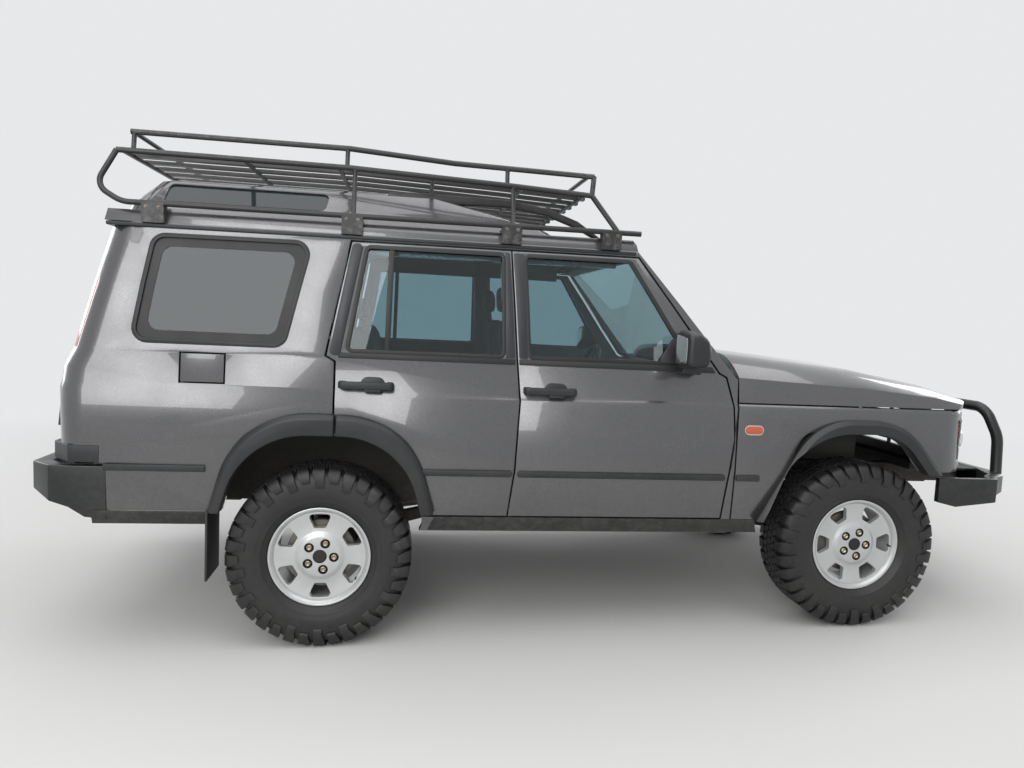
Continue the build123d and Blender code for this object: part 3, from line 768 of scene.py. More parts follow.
@dataclass(frozen=True)
class Finish:
    """One finish: what it is made of and how it has aged.

    Colours are linear RGB. The second colour is what the broad tone mixes in.
    """

    name: str
    slot: str
    colour: Point
    second: Point
    roughness: float = 0.5
    metallic: float = 0.0
    coat: float = 0.0
    coat_roughness: float = 0.05
    sheen: float = 0.0
    specular: float = 0.5
    grain_scale: float = 300.0
    grain_height: float = 0.0
    tone: float = 0.4
    dust: float = 0.0
    dust_low: float = 0.30
    dust_high: float = 0.95
    dust_top: float = 0.0
    wear: float = 0.0
    scratches: float = 0.0
    worn: Point = (0.30, 0.29, 0.27)
    threads: float = 0.0
    flakes: float = 0.0


DUST_COLOUR = (0.235, 0.205, 0.165)
DUST_ROUGHNESS = 0.92
FLAKE_COLOUR = (0.62, 0.63, 0.65)
FLAKE_SCALE = 1300.0
GRAIN_DEPTH = 0.0006
ROUGHNESS_SPREAD = (0.05, 0.07)
# Share of the cloth's colour left in the weave's hollows, as painted shade.
THREAD_SHADE = 0.7
GLASS_IOR = 1.45


class Palette:
    """Every finish of the car as a material, made once."""

    def __init__(self) -> None:
        """Build the shared effects."""
        self.effects = Effects()
        self.made: dict[str, Material] = {}

    def get(self, finish: Finish) -> Material:
        """Material of a solid finish."""
        if finish.name not in self.made:
            self.made[finish.name] = self._build(finish)
        return self.made[finish.name]

    def _build(self, finish: Finish) -> Material:
        """Node tree of one solid finish."""
        material, tree, shader = new_material(finish.name)
        feed(tree, shader, {"Metallic": finish.metallic, "Coat Weight": finish.coat,
                            "Coat Roughness": finish.coat_roughness, "Sheen Weight": finish.sheen,
                            "Specular IOR Level": finish.specular})
        grain = add_node(tree, "Group", {"Scale": finish.grain_scale}, node_tree=self.effects.grain).outputs
        height, tone = grain["Height"], grain["Tone"]
        amount = add_node(tree, "Math", {0: tone, 1: finish.tone}, operation="MULTIPLY").outputs[0]
        colour = mix_colour(tree, amount, finish.colour, finish.second)
        if finish.threads:
            weave = add_node(tree, "Group", {"Threads": finish.threads}, node_tree=self.effects.weave)
            height = weave.outputs["Height"]
            # Painted shade: the colour is darker in the hollows between the threads.
            colour = mix_colour(tree, height, tuple(THREAD_SHADE * part for part in finish.colour), colour)
        if finish.wear or finish.scratches:
            worn = add_node(tree, "Group", {"Edges": finish.wear, "Scratches": finish.scratches},
                            node_tree=self.effects.wear)
            colour = mix_colour(tree, worn.outputs["Mask"], colour, finish.worn)
        below, above = ROUGHNESS_SPREAD
        ends = {"To Min": max(0.02, finish.roughness - below), "To Max": min(1.0, finish.roughness + above)}
        rough = add_node(tree, "MapRange", {"Value": tone, **ends}).outputs["Result"]
        if finish.dust:
            inputs = {"Amount": finish.dust, "Low": finish.dust_low, "High": finish.dust_high,
                      "Top": finish.dust_top}
            mask = add_node(tree, "Group", inputs, node_tree=self.effects.dust).outputs["Mask"]
            colour = mix_colour(tree, mask, colour, DUST_COLOUR)
            rough = add_node(tree, "Mix", {0: mask, 2: rough, 3: DUST_ROUGHNESS}).outputs[0]
            for label, clean in (("Coat Weight", finish.coat), ("Metallic", finish.metallic)):
                if clean:
                    dulled = add_node(tree, "MapRange", {"Value": mask, "To Min": clean, "To Max": 0.0})
                    feed(tree, shader, {label: dulled.outputs["Result"]})
        if finish.flakes:
            colour = self._flakes(tree, colour, finish.flakes)
        feed(tree, shader, {"Roughness": rough, "Base Color": colour})
        if finish.grain_height:
            inputs = {"Strength": min(1.0, finish.grain_height), "Distance": GRAIN_DEPTH, "Height": height}
            feed(tree, shader, {"Normal": add_node(tree, "Bump", inputs).outputs["Normal"]})
        return material

    @staticmethod
    def _flakes(tree: Tree, colour: Socket, amount: float) -> Socket:
        """Metal flakes in the paint as tiny lighter cells."""
        place = add_node(tree, "TexCoord").outputs["Object"]
        cells = add_node(tree, "TexVoronoi", {"Scale": FLAKE_SCALE, "Vector": place}).outputs["Color"]
        bright = add_node(tree, "SeparateColor", {0: cells}).outputs[0]
        spread = add_node(tree, "MapRange", {"Value": bright, "From Min": 0.35, "To Max": amount})
        return mix_colour(tree, spread.outputs["Result"], colour, FLAKE_COLOUR)

    def glass(self, name: str, tint: Point, darken: float = 0.0) -> Material:
        """Tinted glass that lets light through to what is behind it.

        Args:
            name: Name of the material.
            tint: Colour of the glass.
            darken: How much of the glass is a dark film, from 0 to 1.

        Returns:
            The material.
        """
        if name in self.made:
            return self.made[name]
        material, tree, shader = new_material(name)
        feed(tree, shader, {"Base Color": tint, "Transmission Weight": 1.0 - darken, "Roughness": 0.0,
                            "IOR": GLASS_IOR})
        clear = add_node(tree, "BsdfTransparent", {"Color": tint}).outputs[0]
        rays = add_node(tree, "LightPath").outputs
        either = add_node(tree, "Math", {0: rays["Is Shadow Ray"], 1: rays["Is Diffuse Ray"]},
                          operation="MAXIMUM").outputs[0]
        choose = add_node(tree, "MixShader", {0: either, 1: shader.outputs[0], 2: clear})
        feed(tree, tree.nodes["Material Output"], {"Surface": choose.outputs[0]})
        self.made[name] = material
        return material


PAINT = Finish("grey_metallic_paint", "body_paint", (0.086, 0.085, 0.089), (0.066, 0.065, 0.068),
               roughness=0.30, metallic=0.80, coat=1.0, coat_roughness=0.03, tone=0.30, grain_scale=900,
               grain_height=0.02, dust=0.40, dust_low=0.45, dust_high=0.85, dust_top=0.03, flakes=0.14)
# Black of the bonnet's underside and the centre caps; on the walls of the nut pockets it is painted shade.
CAVITY = Finish("cavity_black", "black_plastic", (0.006, 0.006, 0.007), (0.014, 0.014, 0.014),
                roughness=0.8, tone=0.8, grain_scale=120, grain_height=0.2, dust=0.15, dust_high=1.0)
FLARE_PLASTIC = Finish("grained_black_plastic", "black_plastic", (0.009, 0.0105, 0.012),
                       (0.019, 0.021, 0.023), roughness=0.44, tone=0.7, grain_scale=700, grain_height=0.22,
                       dust=0.14, dust_low=0.4, dust_high=1.1, dust_top=0.15, scratches=0.25, wear=0.25,
                       worn=(0.09, 0.09, 0.09))
STRIP_RUBBER = Finish("seal_rubber", "black_plastic", (0.006, 0.0065, 0.007), (0.014, 0.014, 0.014),
                      roughness=0.5, tone=0.5, grain_scale=500, grain_height=0.1)
SATIN_TRIM = Finish("satin_grey_trim", "black_plastic", (0.014, 0.0165, 0.021), (0.026, 0.029, 0.034),
                    roughness=0.40, tone=0.5, grain_scale=800, grain_height=0.12, scratches=0.2,
                    worn=(0.14, 0.14, 0.14))
BUMPER_COAT = Finish("black_powder_coat", "bumper_steel", (0.007, 0.0085, 0.009), (0.016, 0.019, 0.019),
                     roughness=0.34, tone=0.6, grain_scale=420, grain_height=0.22, dust=0.14, dust_low=0.35,
                     dust_high=1.0, dust_top=0.12, wear=0.5, scratches=0.35, worn=(0.10, 0.092, 0.082))
RACK_COAT = Finish("rack_powder_coat", "rack_black", (0.008, 0.0085, 0.0095), (0.018, 0.018, 0.019),
                   roughness=0.36, tone=0.6, grain_scale=420, grain_height=0.15, wear=0.5, scratches=0.35,
                   dust=0.12, dust_high=3.0, dust_top=0.4, worn=(0.18, 0.17, 0.16))
CHASSIS_COAT = Finish("underbody_black", "chassis_black", (0.010, 0.010, 0.010), (0.030, 0.026, 0.023),
                      roughness=0.7, tone=0.8, grain_scale=160, grain_height=0.5, dust=0.30, dust_high=1.1,
                      dust_top=0.6, wear=0.5, scratches=0.2, worn=(0.10, 0.07, 0.05))
CAST_METAL = Finish("cast_metal", "engine_metal", (0.10, 0.10, 0.10), (0.16, 0.155, 0.15), roughness=0.6,
                    metallic=0.7, tone=0.7, grain_scale=200, grain_height=0.5, dust=0.35, dust_high=1.3)
DULL_STEEL = Finish("dull_steel", "exhaust_steel", (0.22, 0.21, 0.195), (0.12, 0.09, 0.07), roughness=0.45,
                    metallic=0.9, tone=0.9, grain_scale=260, grain_height=0.25, dust=0.3, dust_high=1.0)
SPRING_COAT = Finish("spring_enamel", "spring_steel", (0.015, 0.015, 0.017), (0.04, 0.037, 0.034),
                     roughness=0.42, tone=0.7, grain_scale=240, grain_height=0.15, dust=0.35, dust_high=1.1,
                     dust_top=0.4)
ALLOY = Finish("painted_alloy", "alloy", (0.56, 0.57, 0.575), (0.48, 0.48, 0.475), roughness=0.34,
               metallic=0.55, coat=0.6, coat_roughness=0.12, tone=0.4, grain_scale=900, grain_height=0.06,
               dust=0.22, dust_low=0.0, dust_high=0.9)
RUBBER = Finish("tyre_rubber_finish", "tyre_rubber", (0.0085, 0.0088, 0.0095), (0.019, 0.019, 0.019),
                roughness=0.52, tone=0.7, grain_scale=360, grain_height=0.30, dust=0.10, dust_low=0.0,
                dust_high=1.0, scratches=0.15, worn=(0.05, 0.048, 0.046))
DASH = Finish("dash_plastic_finish", "dash_plastic", (0.045, 0.046, 0.05), (0.07, 0.07, 0.072),
              roughness=0.6, tone=0.4, grain_scale=600, grain_height=0.35)
LINING = Finish("headlining_cloth", "dash_plastic", (0.36, 0.345, 0.31), (0.42, 0.40, 0.36), roughness=0.9,
                tone=0.5, grain_scale=900, grain_height=0.4, sheen=0.2)
DOOR_CARD = Finish("door_card_vinyl", "dash_plastic", (0.10, 0.10, 0.098), (0.14, 0.138, 0.13),
                   roughness=0.6, tone=0.5, grain_scale=500, grain_height=0.4)
CARPET = Finish("floor_carpet", "dash_plastic", (0.035, 0.034, 0.033), (0.07, 0.066, 0.06), roughness=0.95,
                tone=0.8, grain_scale=1100, grain_height=1.0, sheen=0.3)
SEAT_CLOTH = Finish("seat_cloth_finish", "seat_cloth", (0.17, 0.155, 0.13), (0.24, 0.22, 0.185),
                    roughness=0.88, tone=0.6, grain_height=0.7, threads=900.0, sheen=0.35)
SEAT_SHELL = Finish("seat_side_vinyl", "dash_plastic", (0.07, 0.065, 0.06), (0.10, 0.095, 0.088),
                    roughness=0.6, tone=0.4, grain_scale=500, grain_height=0.4)
CHROME = Finish("bright_metal", "alloy", (0.72, 0.72, 0.72), (0.62, 0.62, 0.62), roughness=0.12,
                metallic=1.0, tone=0.3)
NUT_METAL = Finish("nut_metal", "alloy", (0.45, 0.40, 0.30), (0.30, 0.26, 0.20), roughness=0.35,
                   metallic=0.95, tone=0.7, grain_scale=300, grain_height=0.15)
REPEATER_LENS = Finish("orange_red_lens", "lamp_clear", (0.52, 0.085, 0.012), (0.38, 0.05, 0.008),
                       roughness=0.18, coat=1.0, tone=0.5, specular=0.6)
AMBER = Finish("amber_lens", "lamp_clear", (0.85, 0.26, 0.02), (0.72, 0.18, 0.01), roughness=0.18, coat=1.0,
               tone=0.5, specular=0.6)
RED_LENS = Finish("red_lens", "lamp_red", (0.50, 0.008, 0.010), (0.33, 0.004, 0.006), roughness=0.16,
                  coat=1.0, tone=0.5, specular=0.6)


class Workshop:
    """Dresses the frame: materials on its nodes and new pieces on its bodies."""

    def __init__(self, frame: dict[str, object]) -> None:
        """Keep the frame's nodes.
        """
        self.nodes: dict[str, Piece] = frame["nodes"]
        self.palette = Palette()

    def dress(self, name: str, finish: Finish | Material, bevel: float = 0.0015, segments: int = 2,
              angle: float = 30) -> Piece:
        """Give a node of the frame its finish and rounded, smoothly shaded edges.

        Args:
            name: Name of the node.
            finish: A finish or a ready material.
            bevel: Width of the rounding, none when 0.
            segments: Steps of the rounding.
            angle: Edges sharper than this are rounded and stay sharp in shading.

        Returns:
            The node.
        """
        node = self.nodes[name]
        material = finish if isinstance(finish, Material) else self.palette.get(finish)
        node.data.materials.clear()
        node.data.materials.append(material)
        focus(node)
        if node.data.has_custom_normals:
            bpy.ops.mesh.customdata_custom_splitnormals_clear()
        bpy.ops.object.shade_smooth()
        corner = math.radians(angle)
        add_modifier(node, "WELD", merge_threshold=WELD_GAP)
        add_modifier(node, "DECIMATE", decimate_type="DISSOLVE", angle_limit=math.radians(FLAT_ANGLE),
                     delimit={"MATERIAL"})
        if bevel:
            add_modifier(node, "BEVEL", width=bevel, segments=segments, limit_method="ANGLE",
                         angle_limit=corner, use_clamp_overlap=True)
        add_modifier(node, "EDGE_SPLIT", split_angle=corner)
        return node

    def line_inside(self, name: str, finish: Finish, test: FaceTest) -> None:
        """Give the faces of a dressed node that pass a test another finish.

        Args:
            name: Name of the node.
            finish: Finish of the faces that pass.
            test: Called with a face's centre and normal, in the part's frame.
        """
        node = self.nodes[name]
        node.data.materials.append(self.palette.get(finish))
        index = len(node.data.materials) - 1
        for polygon in node.data.polygons:
            if test(polygon.center, polygon.normal):
                polygon.material_index = index

    def place(self, piece: Piece, finish: Finish | Material, body: str, matrix: Matrix = LEVEL,
              slot: str | None = None) -> Piece:
        """Finish a new piece and let it ride on a body.

        Args:
            piece: The modelled piece.
            finish: A finish or a ready material.
            body: Body that it moves with.
            matrix: From the frame it was drawn in to the part's frame.
            slot: Not used.

        Returns:
            The same object.
        """
        piece.data.transform(matrix)
        material = finish if isinstance(finish, Material) else self.palette.get(finish)
        piece.data.materials.clear()
        piece.data.materials.append(material)
        for polygon in piece.data.polygons:
            polygon.material_index = 0
        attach(piece, body)
        LOG.info("%s on %s, %d faces", piece.name, body, len(piece.data.polygons))
        return piece

    def both_sides(self, model: Piece, finish: Finish | Material, name: str, body: str,
                   replaced: str = "") -> None:
        """Place a piece of the right side, and its mirror image on the left.

        Args:
            model: The piece of the right side, in the level frame.
            finish: Its finish.
            name: Name, before the word of the side.
            body: Body that it moves with, with {side} for the side.
            replaced: Node that it stands for, written the same way.
        """
        for side, piece in ((Side.LEFT, across(model)), (Side.RIGHT, model)):
            piece.name = f"{name}_{side.word}"
            self.place(piece, finish, body.format(side=side.word))
            if replaced:
                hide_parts(replaced.format(side=side.word))


@dataclass
class BodySide:
    """Shape of the body's flank, for pieces that lie on it."""

    rows: Outline = (
        # height and half width
        (0.49, 0.866), (0.562, 0.890), (0.79, 0.907), (1.085, 0.900), (1.112, 0.887), (1.172, 0.882),
        (1.242, 0.876), (1.53, 0.838), (1.785, 0.787),
    )
    reach: Flat = (-2.25, 1.62)
    far_out: float = -1.0
    prism_depth: float = 0.45

    def sheet(self, name: str, outline: Sequence[Flat], proud: float, depth: float = 0.006,
              radius: float = 0.0, hole: Sequence[Flat] | None = None, hole_radius: float = 0.0,
              edge: float = 0.0) -> Piece:
        """Thin piece that follows the right flank inside a side-view outline.

        Args:
            name: Name of the piece.
            outline: Corners as x and height.
            proud: How far its face stands out of the flank.
            depth: Its thickness, inward from that face.
            radius: Radius of the outline's corners.
            hole: Corners of an opening, if it is a frame.
            hole_radius: Radius of the opening's corners.
            edge: Width of the rounding of its edges.

        Returns:
            The finished piece, in the level frame.
        """
        piece = self._prism(name, outline, radius)
        face = [(self.reach[0], -(wide + proud), low) for low, wide in self.rows]
        back = [(self.reach[0], -(wide + proud - depth), low) for low, wide in reversed(self.rows)]
        layer = slab("layer", face + back, (self.reach[1] - self.reach[0], 0, 0))
        combine(piece, layer, "INTERSECT")
        if hole:
            combine(piece, self._prism("hole", hole, hole_radius))
        return soften(piece, edge) if edge else shade(piece)

    def _prism(self, name: str, outline: Sequence[Flat], radius: float) -> Piece:
        """Side-view outline as a prism through the right flank."""
        points = [(x, self.far_out, z) for x, z in outline]
        if radius:
            points = rounded(points, radius, 6, closed=True)
        return slab(name, points, (0, self.prism_depth, 0))


FLANK = BodySide()


@dataclass
class Coachwork:
    """Painted panels, their dark linings and the fixed black parts of the body."""

    panel_edge: float = 0.002
    soft_edge: float = 0.004

    def build(self, shop: Workshop) -> None:
        """Dress every node of the body.

        Args:
            shop: The workshop that holds the frame.
        """
        panels = ["body_side_right", "body_side_left", "roof_panel", "front_wing_right", "front_wing_left",
                  "bonnet", "tail_door", "fuel_flap"]
        panels += [f"door_{axle.word}_{side.word}" for axle in Axle for side in Side]
        for name in panels:
            shop.dress(name, PAINT, self.panel_edge)
        for side in Side:
            for part in ("door_front", "door_rear", "body_side"):
                shop.line_inside(f"{part}_{side.word}", DOOR_CARD, self.faces_in(side))
        for name, lining in (("roof_panel", LINING), ("bonnet", CAVITY)):
            shop.line_inside(name, lining, lambda place, normal: normal.z < -0.3)
        shop.line_inside("tail_door", DOOR_CARD, lambda place, normal: normal.x > 0.5)
        shop.dress("floor_pan", CHASSIS_COAT, 0.003)
        shop.line_inside("floor_pan", CARPET, lambda place, normal: normal.z > 0.5 or abs(normal.x) > 0.9)
        shop.dress("body_trim", FLARE_PLASTIC, self.soft_edge, 3)
        shop.dress("tail_door_trim", FLARE_PLASTIC, self.soft_edge, 3)
        shop.dress("front_panel", FLARE_PLASTIC, self.panel_edge)

    @staticmethod
    def faces_in(side: Side) -> FaceTest:
        """Test for faces that look towards the middle of the car."""
        return lambda place, normal: normal.y * side.value < -0.6


@dataclass
class Glazing:
    """All the panes, with their tints."""

    door_tint: Point = (0.36, 0.50, 0.54)
    rear_tint: Point = (0.045, 0.058, 0.065)
    rear_film: float = 0.60
    rear_from: float = -0.9
    screen_tint: Point = (0.70, 0.82, 0.82)

    def build(self, shop: Workshop) -> None:
        """Dress the glass nodes.

        Args:
            shop: The workshop that holds the frame.
        """
        palette = shop.palette
        doors = palette.glass("door_glass", self.door_tint)
        dark = palette.glass("privacy_glass", self.rear_tint, self.rear_film)
        clear = palette.glass("screen_glass", self.screen_tint)
        for side in Side:
            shop.dress(f"door_front_{side.word}_glass", doors, 0)
            shop.dress(f"door_rear_{side.word}_glass", doors, 0)
        shop.dress("tail_door_glass", dark, 0)
        node = shop.dress("body_glass", clear, 0)
        node.data.materials.append(dark)
        for polygon in node.data.polygons:
            polygon.material_index = 1 if polygon.center.x < self.rear_from else 0


@dataclass
class RunningGear:
    """Chassis, axles, engine and the rest of what shows from below."""

    def build(self, shop: Workshop) -> None:
        """Dress the nodes below the floor.

        Args:
            shop: The workshop that holds the frame.
        """
        shop.dress("chassis_frame", CHASSIS_COAT, 0.004)
        shop.dress("front_axle", CHASSIS_COAT, 0.003)
        shop.dress("rear_axle", CHASSIS_COAT, 0.003)
        shop.dress("prop_shafts", DULL_STEEL, 0.001)
        shop.dress("exhaust", DULL_STEEL, 0.002)
        shop.dress("fuel_tank", CHASSIS_COAT, 0.02, 3)
        shop.dress("powertrain", CAST_METAL, 0.01, 3)
        for side in Side:
            shop.dress(f"knuckle_{side.word}", CAST_METAL, 0.002)


@dataclass
class Armour:
    """Steel bumpers and the roof rack."""

    tube_angle: float = 65

    def build(self, shop: Workshop) -> None:
        """Dress the bumpers and the rack.

        Args:
            shop: The workshop that holds the frame.
        """
        shop.dress("front_bumper", BUMPER_COAT, 0.004, 3)
        shop.dress("rear_bumper", BUMPER_COAT, 0.005, 3)
        for name in ("roof_rack", "rack_guard"):
            shop.dress(name, RACK_COAT, 0, angle=self.tube_angle)


@dataclass
class Lamps:
    """Tail lamps."""

    def build(self, shop: Workshop) -> None:
        """Dress the tail lamps.

        Args:
            shop: The workshop that holds the frame.
        """
        shop.dress("tail_lamps", RED_LENS, 0.003)


@dataclass
class Cabin:
    """Dashboard seen through the glass."""

    def build(self, shop: Workshop) -> None:
        """Dress the inside.

        Args:
            shop: The workshop that holds the frame.
        """
        shop.dress("dashboard", DASH, 0.008, 3)


@dataclass
class TyreMould:
    """One all-terrain tyre about its own axle, its outer side towards -Y."""

    sectors: int = 18
    steps: int = 108
    half_section: Outline = (
        # radius and place across, from the bead over the sidewall to the middle of the tread
        (0.2036, -0.0840), (0.2060, -0.0868), (0.2130, -0.0885), (0.2210, -0.0885), (0.2250, -0.0945),
        (0.2350, -0.1035), (0.2480, -0.1125), (0.2490, -0.1142), (0.2515, -0.1160), (0.2535, -0.1160),
        (0.2680, -0.1220), (0.2850, -0.1250), (0.3050, -0.1258), (0.3250, -0.1245), (0.3450, -0.1215),
        (0.3620, -0.1150), (0.3750, -0.1040), (0.3840, -0.0850), (0.3875, -0.0500), (0.3885, 0.0),
    )
    long_lug: Outline = (
        # place across and radius of a lug that runs far down the sidewall
        (-0.0585, 0.4010), (-0.1000, 0.3992), (-0.1150, 0.3910), (-0.1255, 0.3760), (-0.1310, 0.3570),
        (-0.1322, 0.3380), (-0.1310, 0.3220), (-0.1285, 0.3140), (-0.1225, 0.3130), (-0.1190, 0.3450),
        (-0.1080, 0.3700), (-0.0900, 0.3810), (-0.0585, 0.3850),
    )
    short_lug: Outline = (
        (-0.0585, 0.4010), (-0.0980, 0.3992), (-0.1130, 0.3905), (-0.1235, 0.3750), (-0.1290, 0.3570),
        (-0.1300, 0.3440), (-0.1270, 0.3370), (-0.1205, 0.3365), (-0.1150, 0.3600), (-0.1020, 0.3750),
        (-0.0850, 0.3820), (-0.0585, 0.3850),
    )
    block: Outline = (
        # along the tread and across it
        (-0.0145, -0.0160), (0.0030, -0.0175), (0.0080, -0.0085), (0.0165, -0.0075), (0.0150, 0.0150),
        (-0.0020, 0.0168), (-0.0070, 0.0080), (-0.0160, 0.0070),
    )
    rows_across: tuple[float, ...] = (-0.0370, 0.0, 0.0370)
    blocks_a_row: int = 4
    lug_width: float = 0.050
    narrow: float = 0.70
    foot_below: float = 0.358
    foot_shift: float = 0.006
    notch: tuple[Point, Point] = ((-0.002, -0.14, 0.366), (0.0012, -0.066, 0.41))
    notch_turn: float = 14.0
    block_foot: float = 0.3850
    block_height: float = 0.0160
    edge: float = 0.0013
    block_edge: float = 0.0012

    def _lug(self, section: Sequence[Flat], turn: float) -> Piece:
        """Shoulder lug of a section, narrower at its foot, turned round the axle."""
        half = self.lug_width / 2
        lug = slab("lug", [(-half, across, radius) for across, radius in section], (self.lug_width, 0, 0))
        edit(lug)
        pick_faces(lug, lambda place, normal: (place.z < self.foot_below and normal.z < 0.8
                                                  and abs(normal.x) < 0.5))
        bpy.ops.transform.resize(value=(self.narrow, 1, 1))
        bpy.ops.transform.translate(value=(self.foot_shift, 0, 0))
        leave_edit()
        notch = start_box("notch", *self.notch)
        notch.data.transform(about(self.notch_turn, "Z"))
        combine(lug, notch)
        soften(lug, self.edge, 1, 40)
        lug.data.transform(about(turn))
        return lug

    def _blocks(self, pitch: float) -> list[Piece]:
        """Zigzag blocks in the middle of the tread for one sector."""
        made = []
        step = pitch / self.blocks_a_row
        for row, across in enumerate(self.rows_across):
            for place in range(self.blocks_a_row):
                points = [(x if row % 2 else -x, across + y, self.block_foot) for x, y in self.block]
                piece = soften(slab("block", points, (0, 0, self.block_height)), self.block_edge, 1, 40)
                turn = step * (place - (self.blocks_a_row - 1) / 2 + (0.5 if row % 2 else 0))
                piece.data.transform(about(turn))
                made.append(piece)
        return made

    def build(self) -> Piece:
        """Make the tyre.

        Returns:
            Carcass and tread as one piece.
        """
        pitch = 360 / self.sectors
        lugs = [self._lug(self.long_lug, 0), self._lug(self.short_lug, pitch / 2)]
        other = about(180, "Z")
        far = [twin(lug, about(pitch / 4) @ other) for lug in lugs]
        sector = join("sector", lugs + far + self._blocks(pitch))
        other_half = [(radius, -across) for radius, across in reversed(self.half_section[:-1])]
        carcass = shade(spin_profile("carcass", [*self.half_section, *other_half], self.steps), 40)
        return join("tyre", [carcass] + ring_of(sector, self.sectors))


@dataclass
class RimMould:
    """One six-spoke alloy wheel about its own axle, its outer side towards -Y."""

    steps: int = 96
    spokes: int = 6
    barrel: Outline = (
        # radius and place across of the closed ring, lip first
        (0.2025, -0.0840), (0.2070, -0.0905), (0.2160, -0.0915), (0.2205, -0.0935), (0.2210, -0.0950),
        (0.2195, -0.0960), (0.2140, -0.0960), (0.2122, -0.0945), (0.2108, -0.0945), (0.2095, -0.0920),
        (0.2040, -0.0880), (0.1990, -0.0800), (0.1970, -0.0740), (0.1945, -0.0560), (0.1930, -0.0400),
        (0.1930, 0.0850), (0.2010, 0.0935), (0.2180, 0.0960), (0.2205, 0.0945), (0.2190, 0.0925),
        (0.2075, 0.0905), (0.2025, 0.0840),
    )
    spider: Outline = (
        # radius and place across, from the cap bore over the face to the barrel and back
        (0.0290, -0.0850), (0.0850, -0.0850), (0.0930, -0.0830), (0.1040, -0.0745), (0.1120, -0.0720),
        (0.1500, -0.0725), (0.1830, -0.0755), (0.1935, -0.0775), (0.1985, -0.0775), (0.1985, -0.0560),
        (0.1800, -0.0530), (0.1400, -0.0480), (0.1000, -0.0440), (0.0900, -0.0300), (0.0290, -0.0280),
    )
    window: Outline = ((0.1220, -0.0270), (0.1865, -0.0560), (0.1905, 0.0), (0.1865, 0.0560),
                       (0.1220, 0.0270))
    window_rounds: tuple[float, ...] = (0.012, 0.015, 0.20, 0.015, 0.012)
    bolt_circle: float = 0.0610
    bolts: int = 5
    first_bolt: float = 5.0
    pocket_radius: float = 0.0215
    # Profile of the dark lining of a nut pocket, painted shade on its walls and floor.
    sleeve: Outline = ((0.0213, -0.0848), (0.0213, -0.0705), (0.0002, -0.0705), (0.0002, -0.0725),
                       (0.0178, -0.0725), (0.0186, -0.0848))
    cap: Outline = ((0.0002, -0.0900), (0.0180, -0.0896), (0.0270, -0.0880), (0.0305, -0.0855),
                    (0.0312, -0.0830), (0.0285, -0.0700), (0.0002, -0.0700))
    disc: Outline = ((0.0290, -0.0270), (0.0290, -0.0030), (0.1500, -0.0050), (0.1500, -0.0120),
                     (0.1440, -0.0120), (0.1440, -0.0170), (0.1500, -0.0170), (0.1500, -0.0240),
                     (0.0990, -0.0245), (0.0960, -0.0280), (0.0290, -0.0280))

    def alloy(self, turn: float) -> Piece:
        """Barrel and spoked face.

        Args:
            turn: Angle of the first window from straight ahead.

        Returns:
            The bright casting.
        """
        spider = spin_profile("spider", self.spider, self.steps)
        shape = [(x, -0.10, z) for x, z in self.window]
        cutter = slab("window", rounded(shape, self.window_rounds, 5, closed=True), (0, 0.08, 0))
        edit(cutter)
        pick_faces(cutter, lambda place, normal: normal.y > 0.9)
        bpy.ops.transform.resize(value=(0.86, 1, 0.80))
        leave_edit()
        for piece in ring_of(cutter, self.spokes, turn):
            combine(spider, piece)
        pocket = start_round("pocket", (self.bolt_circle, -0.10, 0), (self.bolt_circle, -0.070, 0),
                             self.pocket_radius, 32)
        for piece in ring_of(pocket, self.bolts, self.first_bolt):
            combine(spider, piece)
        soften(spider, 0.0022, 3, 34)
        return join("alloy", [shade(spin_profile("barrel", self.barrel, self.steps), 40), spider])

    def nuts(self) -> Piece:
        """Wheel nuts with dished faces."""
        place = self.bolt_circle
        nut = start_round("nut", (place, -0.070, 0), (place, -0.0835, 0), 0.0148, 6, 0.0140)
        edit(nut)
        pick_faces(nut, lambda centre, normal: normal.y < -0.9)
        bpy.ops.mesh.inset(thickness=0.0035)
        bpy.ops.transform.translate(value=(0, -0.0035, 0))
        bpy.ops.mesh.inset(thickness=0.0045)
        bpy.ops.transform.translate(value=(0, 0.006, 0))
        leave_edit()
        return join("nuts", ring_of(soften(nut, 0.0008, 2, 40), self.bolts, self.first_bolt))

    def pockets(self) -> Piece:
        """Painted shade: dark linings on the walls and floors of the nut pockets, and the bare centre cap."""
        sleeve = spin_profile("sleeve", self.sleeve, 28)
        sleeve.data.transform(Matrix.Translation((self.bolt_circle, 0, 0)))
        cap = shade(spin_profile("cap", self.cap, 48), 40)
        return shade(join("pockets", ring_of(sleeve, self.bolts, self.first_bolt) + [cap]), 40)

    def brake(self) -> Piece:
        """Brake disc with its hat, behind the spokes."""
        return soften(spin_profile("disc", self.disc, 72), 0.0008, 1, 40)

    def valve(self, turn: float) -> Piece:
        """Tyre valve beside a spoke."""
        stem = start_round("valve", (0.1880, -0.066, 0), (0.1850, -0.094, 0), 0.0042, 12, 0.0032)
        stem.data.transform(about(turn))
        return soften(stem, 0.001)


